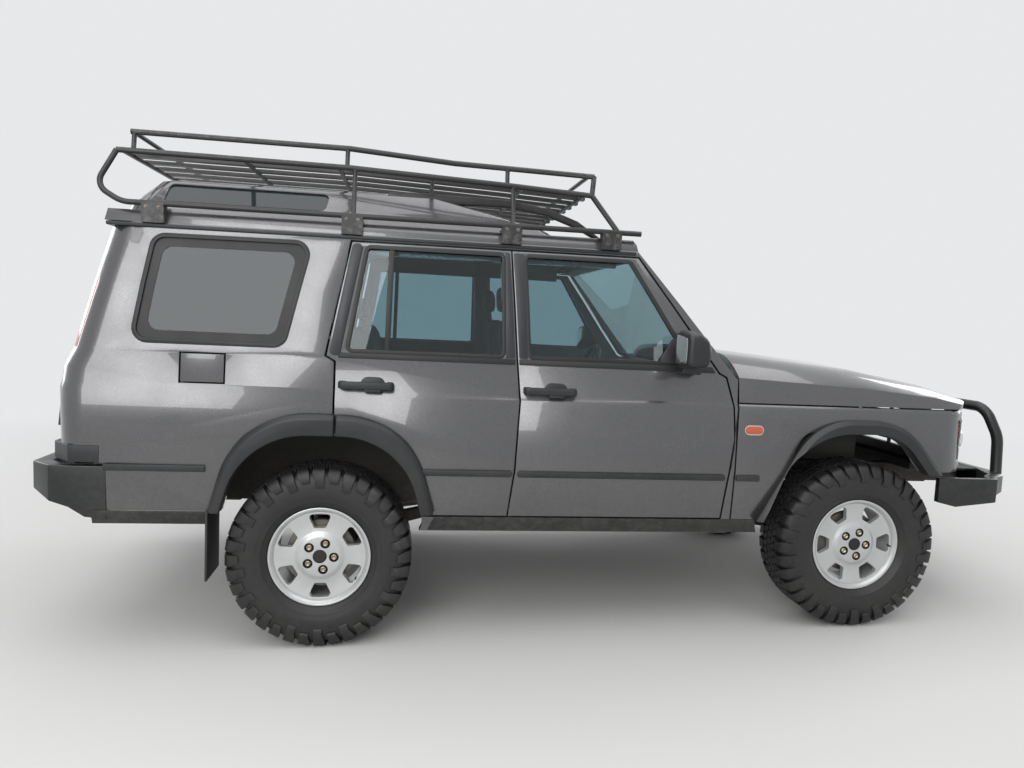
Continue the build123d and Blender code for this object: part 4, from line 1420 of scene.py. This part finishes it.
@dataclass
class Wheels:
    """Four wheels: tyres with their tread, six-spoke rims, brake discs and nuts."""

    front_turn: float = 0.0
    rear_turn: float = 30.0
    valve_turn: float = 4.0

    def build(self, shop: Workshop) -> None:
        """Make one tyre and one rim for each axle and copy them to their hubs.

        Args:
            shop: The workshop that holds the frame.
        """
        tyre = TyreMould().build()
        mould = RimMould()
        nuts, pockets, brake = mould.nuts(), mould.pockets(), mould.brake()
        for axle in Axle:
            turn = self.front_turn if axle is Axle.FRONT else self.rear_turn
            alloy, valve = mould.alloy(turn), mould.valve(turn + self.valve_turn)
            parts = (("tyre", tyre, RUBBER), ("alloy_wheel", alloy, ALLOY), ("wheel_nuts", nuts, NUT_METAL),
                     # The centre-cap piece also holds the painted shade of the nut pockets.
                     ("centre_cap", pockets, CAVITY), ("brake_disc", brake, DULL_STEEL),
                     ("valve", valve, STRIP_RUBBER))
            track = STANCE.track_front if axle is Axle.FRONT else STANCE.track_rear
            for side in Side:
                spot = Matrix.Translation((STANCE.axle_x(axle), side.value * track / 2, STANCE.axle_height))
                if side is Side.LEFT:
                    spot = spot @ about(180, "Z")
                place = f"{axle.word}_{side.word}"
                for word, model, finish in parts:
                    piece = twin(model, UPRIGHT, f"{word}_made_{place}")
                    shop.place(piece, finish, f"wheel_{place}", spot)
                    if word == "tyre":
                        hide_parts(f"tyre_{place}")
                    if word == "alloy_wheel":
                        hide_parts(f"rim_{place}")
            for model in (alloy, valve):
                bpy.data.objects.remove(model, do_unlink=True)
        for model in (tyre, nuts, pockets, brake):
            bpy.data.objects.remove(model, do_unlink=True)


@dataclass
class Flares:
    """Moulded arches with round corners; the rear pair is split where the doors shut."""

    front: Outline = ((0.568, 0.30), (0.982, 1.048), (1.425, 1.048), (1.900, 0.50), (1.900, 0.30))
    front_rounds: tuple[float, ...] = (0, 0.31, 0.33, 0, 0)
    front_mouth: Outline = ((0.740, 0.30), (0.740, 0.560), (0.930, 0.985), (1.400, 0.985), (1.565, 0.790),
                            (1.680, 0.30))
    front_mouth_rounds: tuple[float, ...] = (0, 0.05, 0.35, 0.33, 0.10, 0)
    rear: Outline = ((-1.8174, 0.30), (-1.630, 1.012), (-0.905, 1.006), (-0.7166, 0.30))
    rear_rounds: tuple[float, ...] = (0, 0.38, 0.37, 0)
    rear_mouth: Outline = ((-1.772, 0.30), (-1.600, 0.915), (-0.940, 0.915), (-0.774, 0.30))
    rear_mouth_rounds: tuple[float, ...] = (0, 0.34, 0.34, 0)
    root: float = 0.870
    shoulder: float = 0.921
    crown: float = 0.940
    slope: float = 0.020
    front_feet: Flat = (0.560, 0.795)
    rear_foot: float = 0.575
    shut_line: Flat = (-1.229, -1.221)
    arc_steps: int = 14
    edge: float = 0.006

    def _arch(self, name: str, axle: Axle, cuts: Sequence[tuple[Point, Point]]) -> Piece:
        """One arch of the right side, cut where it ends.

        Args:
            name: Name of the piece.
            axle: Which wheel it stands over.
            cuts: Boxes that are taken off, as two corners each.

        Returns:
            The moulding.
        """
        outline, rounds, mouth, mouth_rounds = (
            (self.front, self.front_rounds, self.front_mouth, self.front_mouth_rounds) if axle is Axle.FRONT
            else (self.rear, self.rear_rounds, self.rear_mouth, self.rear_mouth_rounds))
        points = rounded([(x, -self.root, z) for x, z in outline], rounds, self.arc_steps, closed=True)
        piece = slab(name, points, (0, self.root - self.shoulder, 0))
        edit(piece)
        pick_faces(piece, lambda place, normal: normal.y < -0.9)
        bpy.ops.mesh.inset(thickness=self.slope)
        bpy.ops.transform.translate(value=(0, self.shoulder - self.crown, 0))
        leave_edit()
        opening = rounded([(x, -1.0, z) for x, z in mouth], mouth_rounds, self.arc_steps, closed=True)
        combine(piece, slab("mouth", opening, (0, 0.3, 0)))
        for low, high in cuts:
            combine(piece, start_box("cut", low, high))
        return soften(piece, self.edge, 3)

    def build(self, shop: Workshop) -> None:
        """Make the arches of both sides.

        Args:
            shop: The workshop that holds the frame.
        """
        behind, ahead = self.front_feet
        body_end, door_end = self.shut_line
        foot = ((-2.0, -1.1, 0.1), (0.0, -0.8, self.rear_foot))
        wing = self._arch("wing_arch", Axle.FRONT, [((0.0, -1.1, 0.1), (1.30, -0.8, behind)),
                                                    ((1.30, -1.1, 0.1), (2.2, -0.8, ahead))])
        quarter = self._arch("quarter_arch", Axle.REAR, [foot, ((body_end, -1.1, 0.5), (0.0, -0.8, 1.2))])
        arches = shop.place(both("arches_made", join("arches", [wing, quarter])), FLARE_PLASTIC, "root")
        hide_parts("wheel_flares")
        door = self._arch("door_arch", Axle.REAR, [foot, ((-2.0, -1.1, 0.5), (door_end, -0.8, 1.2))])
        shop.both_sides(door, FLARE_PLASTIC, "door_arch", "door_rear_{side}")


@dataclass
class DoorFurniture:
    """Handles, rub strips and mirrors of the side doors."""

    strip: Flat = (0.748, 0.776)
    front_strip: Flat = (-0.425, 0.548)
    rear_strip: Flat = (-0.852, -0.448)
    front_grip: Flat = (-0.413, -0.174)
    rear_grip: Flat = (-1.218, -0.982)
    grip_height: Flat = (1.120, 1.152)
    mirror_head: Outline = ((0.264, 1.262), (0.384, 1.266), (0.399, 1.330), (0.388, 1.400), (0.330, 1.439),
                            (0.264, 1.434))
    mirror_reach: Flat = (0.925, 1.094)
    stalk: Outline = ((0.292, 1.240), (0.392, 1.236), (0.380, 1.292), (0.304, 1.300))
    sail: Outline = ((0.205, 1.281), (0.360, 1.281), (0.280, 1.404))
    mirror_glass: Outline = ((-0.942, 1.284), (-1.072, 1.290), (-1.072, 1.402), (-0.942, 1.418))
    glass_place: float = 0.2650

    def _strip(self, run: Flat) -> Piece:
        """Rub strip along one door."""
        low, high = self.strip
        outline = ((run[0], low), (run[1], low), (run[1], high), (run[0], high))
        return FLANK.sheet("strip", outline, 0.013, 0.024, radius=0.010, edge=0.004)

    def _grip(self, run: Flat) -> Piece:
        """Bar handle on two feet, with the round dish behind its paddle."""
        rear, front = run
        low, high = self.grip_height
        plan = ((rear, -0.876), (rear, -0.916), (rear + 0.014, -0.928), (front - 0.014, -0.928),
                (front, -0.916), (front, -0.876), (front - 0.034, -0.876), (front - 0.036, -0.905),
                (rear + 0.036, -0.905), (rear + 0.034, -0.876))
        bar = slab("bar", [(x, y, low) for x, y in plan], (0, 0, high - low), 0.007)
        middle = rear + 0.62 * (front - rear)
        left, right, foot, top = middle - 0.052, middle + 0.052, 1.106, 1.172
        dish = ((left, foot), (right, foot), (right, top), (left, top))
        plate = FLANK.sheet("dish", dish, 0.006, 0.012, radius=0.031, edge=0.003)
        face = [(middle - 0.040, -0.890, 1.112), (middle + 0.040, -0.890, 1.112),
                (middle + 0.036, -0.922, 1.108), (middle - 0.036, -0.922, 1.108)]
        paddle = slab("paddle", face, (0, 0, 0.020), 0.004)
        return join("grip", [bar, plate, paddle])

    def _mirror(self) -> tuple[Piece, Piece]:
        """Mirror head with its arm and sail, and its glass.

        Returns:
            The black parts and the silvered glass.
        """
        near, far = self.mirror_reach
        head = slab("head", [(x, -near, z) for x, z in self.mirror_head], (0, near - far, 0))
        edit(head)
        pick_faces(head, lambda place, normal: normal.y < -0.9)
        bpy.ops.transform.resize(value=(0.80, 1, 0.84), center_override=(0.264, -far, 1.345))
        leave_edit()
        soften(head, 0.024, 5, 20)
        arm = slab("arm", [(x, -0.850, z) for x, z in self.stalk], (0, -0.095, 0), 0.010)
        sail = FLANK.sheet("sail", self.sail, 0.003, 0.014, radius=0.012, edge=0.002)
        pane = [(self.glass_place, y, z) for y, z in self.mirror_glass]
        glass = slab("glass", rounded(pane, 0.018, 5, closed=True), (-0.003, 0, 0))
        return join("mirror", [head, arm, sail]), shade(glass)

    def build(self, shop: Workshop) -> None:
        """Make the furniture of the four doors.

        Args:
            shop: The workshop that holds the frame.
        """
        mirror, glass = self._mirror()
        front = join("front_furniture", [self._strip(self.front_strip), self._grip(self.front_grip), mirror])
        shop.both_sides(front, FLARE_PLASTIC, "front_door_furniture", "door_front_{side}",
                        "door_front_{side}_trim")
        shop.both_sides(glass, CHROME, "mirror_glass", "door_front_{side}")
        rear = join("rear_furniture", [self._strip(self.rear_strip), self._grip(self.rear_grip)])
        shop.both_sides(rear, FLARE_PLASTIC, "rear_door_furniture", "door_rear_{side}",
                        "door_rear_{side}_trim")


@dataclass
class WindowTrim:
    """Seals, mouldings and plates round the side glass, sill covers, and the bars of the raised roof."""

    front_window: Outline = ((-0.419, 1.735), (0.070, 1.735), (0.366, 1.280), (-0.389, 1.280))
    rear_window: Outline = ((-1.117, 1.735), (-0.515, 1.735), (-0.503, 1.280), (-1.189, 1.280))
    quarter_window: Outline = ((-1.999, 1.735), (-1.353, 1.738), (-1.453, 1.289), (-2.067, 1.290))
    front_waist: Outline = ((-0.434, 1.247), (0.482, 1.244), (0.463, 1.271), (-0.436, 1.272))
    rear_waist: Outline = ((-1.222, 1.249), (-0.453, 1.247), (-0.451, 1.272), (-1.228, 1.273))
    front_plate: Outline = ((-0.435, 1.276), (-0.397, 1.276), (-0.426, 1.742), (-0.472, 1.742))
    rear_plate: Outline = ((-0.496, 1.276), (-0.453, 1.276), (-0.488, 1.742), (-0.509, 1.742))
    divider: Outline = ((-1.028, 1.276), (-1.004, 1.276), (-0.998, 1.740), (-1.022, 1.740))
    leaning: Outline = ((-1.178, 1.746), (-1.132, 1.746), (-1.216, 1.258), (-1.262, 1.262))
    sill: Outline = ((-0.815, 0.494), (0.738, 0.494), (0.716, 0.561), (-0.786, 0.561))
    valance: Outline = ((-2.215, 0.514), (-1.760, 0.514), (-1.752, 0.574), (-2.215, 0.574))
    roof_bar: tuple[Point, ...] = (
        # x, top and underside
        (-1.040, 1.996, 1.950), (-0.990, 2.006, 1.960), (-0.490, 2.000, 1.966), (-0.300, 1.974, 1.940),
        (-0.150, 1.922, 1.888), (-0.034, 1.848, 1.830),
    )
    roof_bar_span: Flat = (0.602, 0.640)
    door_round: float = 0.022
    quarter_round: float = 0.055
    seal_half: float = 0.009
    border_depth: float = 0.046

    @staticmethod
    def _plate(outline: Sequence[Flat]) -> Piece:
        """Satin plate on a pillar."""
        return FLANK.sheet("plate", outline, 0.004, 0.010, radius=0.004, edge=0.0015)

    @staticmethod
    def _waist(outline: Sequence[Flat]) -> Piece:
        """Rubber moulding under a window."""
        return FLANK.sheet("waist", outline, 0.006, 0.016, edge=0.003)

    @staticmethod
    def _cover(outline: Sequence[Flat]) -> Piece:
        """Dark cover along the foot of the body."""
        return FLANK.sheet("cover", outline, 0.003, 0.008, edge=0.002)

    def _seal(self, window: Sequence[Flat], radius: float) -> Piece:
        """Rubber ring round one window."""
        half = self.seal_half
        return FLANK.sheet("seal", widened(window, half), 0.0015, 0.010, radius=radius + half,
                           hole=widened(window, -half), hole_radius=radius - half, edge=0.0012)

    def build(self, shop: Workshop) -> None:
        """Make the trim of both sides.

        Args:
            shop: The workshop that holds the frame.
        """
        front = join("front_trim", [self._seal(self.front_window, self.door_round),
                                    self._waist(self.front_waist)])
        shop.both_sides(front, STRIP_RUBBER, "front_window_trim", "door_front_{side}")
        rear = join("rear_trim", [self._seal(self.rear_window, self.door_round), self._waist(self.rear_waist),
                                  FLANK.sheet("divider", self.divider, 0.0, 0.014, edge=0.003)])
        shop.both_sides(rear, STRIP_RUBBER, "rear_window_trim", "door_rear_{side}")
        shop.both_sides(self._plate(self.front_plate), SATIN_TRIM, "front_pillar_plate", "door_front_{side}")
        leaning = FLANK.sheet("leaning", self.leaning, 0.009, 0.014, radius=0.020, edge=0.005)
        plates = join("plates", [self._plate(self.rear_plate), leaning])
        shop.both_sides(plates, SATIN_TRIM, "rear_pillar_plate", "door_rear_{side}")
        pane = self.quarter_window
        border = FLANK.sheet("border", widened(pane, -0.001), -0.0075, 0.002, radius=self.quarter_round,
                             hole=widened(pane, -self.border_depth), hole_radius=0.045)
        quarter = join("quarter", [self._seal(pane, self.quarter_round), border])
        shop.place(both("quarter_window_trim", quarter), STRIP_RUBBER, "root")
        sills = join("sills", [self._cover(self.sill), self._cover(self.valance)])
        shop.place(both("sill_covers", sills), BUMPER_COAT, "root")
        low, high = self.roof_bar_span
        line = [(x, -high, top) for x, top, _ in self.roof_bar]
        under = [(x, -high, base) for x, _, base in reversed(self.roof_bar)]
        bars = both("roof_bars", slab("bar", line + under, (0, high - low, 0), 0.006))
        shop.place(bars, RACK_COAT, "root")


@dataclass
class Repeaters:
    """Side repeaters of the front wings, and the light bolt heads of the rack's clamps."""

    outline: Outline = ((0.635, 0.968), (0.719, 0.968), (0.719, 1.006), (0.635, 1.006))
    clamps: tuple[float, ...] = (-2.003, -1.184, -0.484, -0.026)
    bolt_offsets: Flat = (-0.025, 0.025)
    bolt_height: float = 1.846
    bolt_radii: Flat = (0.0056, 0.0050)
    washer_radius: float = 0.0082
    clamp_face: float = 0.812

    def build(self, shop: Workshop) -> None:
        """Make the lenses, their bright rings and the bolts.

        Args:
            shop: The workshop that holds the frame.
        """
        lens = FLANK.sheet("lens", self.outline, 0.012, 0.020, radius=0.018, edge=0.005)
        shop.place(both("repeater_lenses", lens), REPEATER_LENS, "root")
        ring = FLANK.sheet("ring", widened(self.outline, 0.004), 0.005, 0.012, radius=0.022,
                           hole=widened(self.outline, -0.001), hole_radius=0.017, edge=0.0015)
        shop.place(both("repeater_rings", ring), CHROME, "root")
        bolts = []
        for clamp in self.clamps:
            for offset in self.bolt_offsets:
                x, face, height = clamp + offset, -self.clamp_face, self.bolt_height
                inner = (x, face + 0.002, height)
                root, tip = self.bolt_radii
                head = start_round("bolt", inner, (x, face - 0.006, height), root, 6, tip)
                washer = start_round("washer", inner, (x, face - 0.0015, height), self.washer_radius, 20)
                bolts += [soften(head, 0.001, 1), soften(washer, 0.0006, 1)]
        shop.place(both("rack_bolts", join("bolts", bolts)), DULL_STEEL, "root")


@dataclass
class HeadLamps:
    """Head lamps round the nose corners: clear lens, tray, bowls and the amber side lamp."""

    centre: Flat = (1.640, 0.717)
    radius: float = 0.189
    heights: Flat = (0.865, 1.057)
    inner_edge: float = 0.563
    start: float = 34.0
    bowls: Flat = (0.636, 0.762)
    bowl_place: Flat = (1.812, 0.961)
    bowl: Outline = ((0.0060, 0.050), (0.0300, 0.042), (0.0480, 0.026), (0.0580, 0.0), (0.0610, 0.0),
                     (0.0510, 0.028), (0.0320, 0.046), (0.0060, 0.054))
    side_turn: Flat = (34.6, 51.0)
    steps: int = 12
    lens_tint: Point = (0.95, 0.96, 0.97)

    def _wrap(self, radius: float, depth: float, turn: Flat, heights: Flat, front: bool = True) -> Piece:
        """Upright plate that follows the right nose corner in plan.

        Args:
            radius: Radius of its outer face.
            depth: Its thickness.
            turn: First and last angle, from the flank towards the front.
            heights: Its foot and its top.
            front: Whether it runs on along the front.

        Returns:
            The plate.
        """
        faces = []
        x, y = self.centre
        span = (turn[1] - turn[0]) / self.steps
        angles = [math.radians(turn[0] + span * step) for step in range(self.steps + 1)]
        for size in (radius, radius - depth):
            face = [(x + size * math.sin(angle), -y - size * math.cos(angle), heights[0]) for angle in angles]
            if front:
                face.append((x + size, -self.inner_edge, heights[0]))
            faces.append(face)
        return slab("wrap", faces[0] + faces[1][::-1], (0, 0, heights[1] - heights[0]), 0.0008)

    def _bowl(self, place: float) -> Piece:
        """Bright reflector bowl with its bulb cap, facing ahead."""
        bowl = shade(spin_profile("bowl", self.bowl, 40), 50)
        cap = soften(start_round("cap", (0, 0.052, 0), (0, 0.012, 0), 0.0100, 20, 0.0080), 0.003)
        made = join("bowl", [bowl, cap])
        x, height = self.bowl_place
        made.data.transform(Matrix.Translation((x, -place, height)) @ about(90, "Z"))
        return made

    def build(self, shop: Workshop) -> None:
        """Make both lamps.

        Args:
            shop: The workshop that holds the frame.
        """
        low, high = self.heights
        turn = (self.start, 90.0)
        lens = both("lamp_lenses", self._wrap(self.radius, 0.003, turn, self.heights))
        shop.place(lens, shop.palette.glass("lamp_glass", self.lens_tint), "root", slot="lamp_clear")
        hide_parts("headlamps")
        behind = self.radius - 0.004
        tray = join("tray", [self._wrap(behind, 0.070, turn, (low, low + 0.004)),
                             self._wrap(behind, 0.070, turn, (high - 0.004, high)),
                             self._wrap(self.radius - 0.066, 0.006, turn, (low + 0.003, high - 0.003))])
        shop.place(both("lamp_trays", tray), ALLOY, "root")
        bowls = join("bowls", [self._bowl(place) for place in self.bowls])
        shop.place(both("lamp_bowls", bowls), CHROME, "root")
        side = self._wrap(behind, 0.012, self.side_turn, (low + 0.016, high - 0.020), front=False)
        shop.place(both("side_lamps", side), AMBER, "root")
        lip = self._wrap(self.radius + 0.001, 0.030, turn, (low - 0.010, low - 0.001))
        shop.place(both("lamp_lips", lip), ALLOY, "root")


@dataclass
class TailDoorBar:
    """Bent black bar that hangs from the upper hinge of the tail door."""

    run: tuple[Point, ...] = ((-2.370, -0.600, 1.150), (-2.398, -0.600, 1.060), (-2.440, -0.600, 0.985),
                              (-2.450, -0.600, 0.885))
    bend: float = 0.06
    thickness: float = 0.0125

    def build(self, shop: Workshop) -> None:
        """Make the bar.

        Args:
            shop: The workshop that holds the frame.
        """
        bar = pipe("tail_door_bar", rounded(self.run, self.bend, 6), self.thickness)
        shop.place(bar, BUMPER_COAT, "tail_door")


@dataclass
class CoilSprings:
    """Coil springs on their plates, dampers and turrets, standing for the plain solids."""

    across: float = 0.500
    coil_radius: float = 0.0505
    wire: float = 0.0075
    turns: float = 6.0
    steps_a_turn: int = 20
    tops: Flat = (0.700, 0.720)
    damper_back: float = 0.095
    damper_radius: float = 0.024
    rod_radius: float = 0.011

    def _corner(self, axle: Axle) -> Piece:
        """Spring and damper of the right end of one axle."""
        hub = LEVEL.inverted() @ Vector((STANCE.axle_x(axle), 0, STANCE.axle_height))
        top = self.tops[0] if axle is Axle.FRONT else self.tops[1]
        low, high = hub.z + 0.053, top - 0.007
        y = -self.across
        steps = int(self.turns * self.steps_a_turn)
        coil = []
        for step in range(steps + 1):
            angle = 2 * math.pi * self.turns * step / steps
            coil.append((hub.x + self.coil_radius * math.cos(angle), y + self.coil_radius * math.sin(angle),
                         low + (high - low) * step / steps))
        spring = pipe("spring", coil, self.wire)
        x = hub.x - self.damper_back
        body = start_round("damper", (x, y, hub.z + 0.030), (x, y, hub.z + 0.165), self.damper_radius, 28)
        rod = start_round("rod", (x, y, hub.z + 0.160), (x, y, top + 0.060), self.rod_radius, 20)
        turret = block("turret", (hub.x - 0.125, -0.540, top), (hub.x + 0.060, -0.420, top + 0.020), 0.004)
        plate = block("plate", (hub.x - 0.120, -0.540, hub.z + 0.034), (hub.x + 0.060, -0.445, hub.z + 0.046),
                      0.003)
        return join("corner", [spring, soften(body, 0.004), soften(rod, 0.001), turret, plate])

    def build(self, shop: Workshop) -> None:
        """Make the four corners.

        Args:
            shop: The workshop that holds the frame.
        """
        corners = join("corners", [self._corner(axle) for axle in Axle])
        made = shop.place(both("suspension_made", corners), SPRING_COAT, "root")
        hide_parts("suspension")


@dataclass
class Upholstery:
    """Seats as padded pieces on plain bases, standing for the plain solids."""

    voxel: float = 0.012
    frames: int = 20
    pressure: float = 4.0
    edge: float = 0.035
    front_place: float = 0.370
    squab: Outline = ((-0.335, 0.775), (0.118, 0.768), (0.136, 0.880), (0.090, 0.915), (-0.325, 0.885))
    back: Outline = ((-0.350, 0.885), (-0.268, 0.885), (-0.305, 1.120), (-0.385, 1.452), (-0.455, 1.452),
                     (-0.415, 1.120))
    rest: Outline = ((-0.478, 1.480), (-0.424, 1.480), (-0.424, 1.560), (-0.440, 1.612), (-0.478, 1.612))
    bench: Outline = ((-1.065, 0.815), (-0.640, 0.808), (-0.630, 0.900), (-0.665, 0.935), (-1.050, 0.915))
    bench_back: Outline = ((-1.112, 0.915), (-1.030, 0.915), (-1.062, 1.120), (-1.128, 1.385),
                           (-1.200, 1.385), (-1.165, 1.120))
    bench_rest: Outline = ((-1.222, 1.412), (-1.160, 1.412), (-1.168, 1.530), (-1.218, 1.530))
    bench_half: float = 0.575
    bench_rest_span: Flat = (-0.470, -0.240)
    squab_cap: float = 0.016
    back_cap: float = 0.014
    rest_cap: float = 0.010
    floor: float = 0.655
    post_offset: float = 0.055

    def _pad(self, name: str, outline: Sequence[Flat], span: Flat, cap: float) -> Piece:
        """Cushion of a side-view outline, blown up by a short cloth run.

        Args:
            name: Name of the piece.
            outline: Corners as x and height.
            span: Its two ends across the car.
            cap: How far a point may move.

        Returns:
            The padded form.
        """
        pad = slab(name, [(x, span[0], z) for x, z in outline], (0, span[1] - span[0], 0))
        soften(pad, self.edge, 4)
        apply_modifier(pad, "REMESH", mode="VOXEL", voxel_size=self.voxel)
        start = [vert.co.copy() for vert in pad.data.vertices]
        focus(pad)
        cloth = pad.modifiers.new("Cloth", "CLOTH")
        cloth.settings.use_pressure = True
        cloth.settings.uniform_pressure_force = self.pressure
        cloth.settings.effector_weights.gravity = 0
        for frame in range(1, self.frames + 1):
            bpy.context.scene.frame_set(frame)
        bpy.ops.object.modifier_apply(modifier=cloth.name)
        bpy.context.scene.frame_set(1)
        for vert, place in zip(pad.data.vertices, start):
            move = vert.co - place
            if move.length > cap:
                vert.co = place + move.normalized() * cap
        apply_modifier(pad, "SUBSURF", levels=1, render_levels=1)
        return shade(pad, 60)

    def _front(self) -> list[Piece]:
        """Cushions of the right front seat."""
        parts = (("front_squab", self.squab, 0.235, self.squab_cap),
                 ("front_back", self.back, 0.225, self.back_cap),
                 ("front_rest", self.rest, 0.115, self.rest_cap))
        return [self._pad(name, outline, (-self.front_place - half, -self.front_place + half), cap)
                for name, outline, half, cap in parts]

    def _bases(self) -> Piece:
        """Seat boxes, bench foot and the posts of the headrests."""
        parts = []
        for place in (-self.front_place, self.front_place):
            parts.append(block("box", (-0.300, place - 0.180, self.floor),
                               (0.100, place + 0.180, self.floor + 0.118), 0.010))
            for y in (place - self.post_offset, place + self.post_offset):
                parts.append(start_round("post", (-0.436, y, 1.400), (-0.450, y, 1.510), 0.006, 12))
        parts.append(block("foot", (-0.815, -0.560, self.floor), (-0.640, 0.560, self.floor + 0.155), 0.010))
        return shade(join("seat_bases", parts))

    def build(self, shop: Workshop) -> None:
        """Make the seats.

        Args:
            shop: The workshop that holds the frame.
        """
        bases = shop.place(self._bases(), SEAT_SHELL, "root")
        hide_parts("seats")
        pads = []
        for model in self._front():
            other = twin(model, Matrix.Translation((0, 2 * self.front_place, 0)), f"{model.name}_left")
            model.name = f"{model.name}_right"
            pads += [model, other]
        width = (-self.bench_half, self.bench_half)
        pads += [self._pad("bench_squab", self.bench, width, self.squab_cap),
                 self._pad("bench_back", self.bench_back, width, self.back_cap)]
        rest = self._pad("bench_rest_right", self.bench_rest, self.bench_rest_span, self.rest_cap)
        pads += [rest, across(rest, "bench_rest_left")]
        for pad in pads:
            shop.place(pad, SEAT_CLOTH, "root")


@dataclass
class Studio:
    """Floor, backdrop, lamps and the camera at the photograph's place."""

    eye: Point = (-0.7684, -4.1884, 1.4741)
    yaw: float = 0.1373
    pitch: float = -0.0898
    roll: float = 0.0211
    focal_pixels: float = 754.88
    picture_width: int = 1024
    sensor: float = 36.0
    floor_size: float = 90.0
    floor_tone: Point = (0.62, 0.62, 0.61)
    floor_roughness: float = 0.85
    backdrop_tone: Point = (0.80, 0.81, 0.82)
    floor_fade: Flat = (3.2, 9.0)
    world_strength: float = 0.55
    lamps: tuple[tuple[str, Point, Point, float, float], ...] = (
        # name, place, point looked at, size, power in watts
        ("sky_panel", (-0.5, -2.0, 6.5), (-0.5, -1.9, 0.0), 9.0, 400.0),
        ("side_panel", (-3.2, -7.5, 4.0), (0.0, -0.9, 1.0), 4.5, 260.0),
        ("rear_panel", (-7.5, 3.5, 3.5), (0.0, 0.0, 1.0), 4.0, 150.0),
        ("front_panel_light", (7.5, 2.5, 3.5), (0.0, 0.0, 1.0), 4.0, 150.0),
    )

    def build(self) -> None:
        """Make floor, world, lamps and camera."""
        self._floor()
        self._world()
        for name, place, target, size, power in self.lamps:
            self._lamp(name, place, target, size, power)
        self._camera()
        bpy.context.scene.view_settings.view_transform = "Standard"

    def _floor(self) -> None:
        """Wide pale floor at the height of the tyres' feet."""
        rest_selection()
        bpy.ops.mesh.primitive_plane_add(size=self.floor_size, location=(0, 0, 0))
        floor = bpy.context.object
        floor.name = "studio_floor"
        material, tree, shader = new_material("studio_floor_matt")
        feed(tree, shader, {"Base Color": self.floor_tone, "Roughness": self.floor_roughness})
        level = add_node(tree, "MapRange", {"Value": self._seen_straight(tree), "To Min": self.world_strength,
                                            "To Max": 1.0}).outputs["Result"]
        far = add_node(tree, "Emission", {"Color": self.backdrop_tone, "Strength": level}).outputs[0]
        place = add_node(tree, "TexCoord").outputs["Object"]
        length = add_node(tree, "VectorMath", {0: place}, operation="LENGTH").outputs["Value"]
        near, out = self.floor_fade
        fade = add_node(tree, "MapRange", {"Value": length, "From Min": near, "From Max": out},
                        interpolation_type="SMOOTHSTEP").outputs["Result"]
        blend = add_node(tree, "MixShader", {0: fade, 1: shader.outputs[0], 2: far}).outputs[0]
        feed(tree, tree.nodes["Material Output"], {"Surface": blend})
        floor.data.materials.append(material)

    @staticmethod
    def _seen_straight(tree: Tree) -> Socket:
        """Socket that is 1 for what the camera sees, also in metal and through glass."""
        rays = add_node(tree, "LightPath").outputs
        seen = rays["Is Camera Ray"]
        for label in ("Is Glossy Ray", "Is Transmission Ray"):
            seen = add_node(tree, "Math", {0: seen, 1: rays[label]}, operation="MAXIMUM").outputs[0]
        return seen

    def _world(self) -> None:
        """Soft even light, and a pale backdrop for the camera, metal and glass."""
        world = bpy.data.worlds.new("studio_world")
        bpy.context.scene.world = world
        world.use_nodes = True
        tree = world.node_tree
        soft = tree.nodes["Background"]
        feed(tree, soft, {"Color": self.backdrop_tone, "Strength": self.world_strength})
        pale = add_node(tree, "Background", {"Color": self.backdrop_tone, "Strength": 1.0}).outputs[0]
        choose = add_node(tree, "MixShader", {0: self._seen_straight(tree), 1: soft.outputs[0], 2: pale})
        feed(tree, tree.nodes["World Output"], {"Surface": choose.outputs[0]})

    @staticmethod
    def _lamp(name: str, place: Point, target: Point, size: float, power: float) -> None:
        """One square soft lamp that looks at a point."""
        data = bpy.data.lights.new(name, "AREA")
        data.shape = "SQUARE"
        data.size = size
        data.energy = power
        lamp = bpy.data.objects.new(name, data)
        bpy.context.scene.collection.objects.link(lamp)
        lamp.location = place
        lamp.rotation_euler = (Vector(target) - Vector(place)).to_track_quat("-Z", "Y").to_euler()

    def _camera(self) -> None:
        """Camera where the photograph was taken from."""
        data = bpy.data.cameras.new("photo_camera")
        data.sensor_width = self.sensor
        data.lens = self.focal_pixels / self.picture_width * self.sensor
        camera = bpy.data.objects.new("photo_camera", data)
        bpy.context.scene.collection.objects.link(camera)
        flat = math.cos(self.pitch)
        ahead = Vector((math.sin(self.yaw) * flat, math.cos(self.yaw) * flat, math.sin(self.pitch)))
        level = Vector((math.cos(self.yaw), -math.sin(self.yaw), 0))
        above = level.cross(ahead)
        right = math.cos(self.roll) * level + math.sin(self.roll) * above
        up = -math.sin(self.roll) * level + math.cos(self.roll) * above
        turn = Matrix((right, up, -ahead)).transposed().to_4x4()
        camera.matrix_world = Matrix.Translation(self.eye) @ turn
        bpy.context.scene.camera = camera


def main() -> None:
    logging.basicConfig(level=logging.INFO, format="%(message)s")
    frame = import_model()
    rest_selection()
    shop = Workshop(frame)
    Studio().build()
    for group in (Coachwork(), Glazing(), RunningGear(), Armour(), Lamps(), Cabin(), Wheels(), Flares(),
                  DoorFurniture(), WindowTrim(), Repeaters(), HeadLamps(), TailDoorBar(), CoilSprings(),
                  Upholstery()):
        group.build(shop)
        LOG.info("%s done", type(group).__name__)
    rest_selection()


if __name__ == "__main__":
    main()
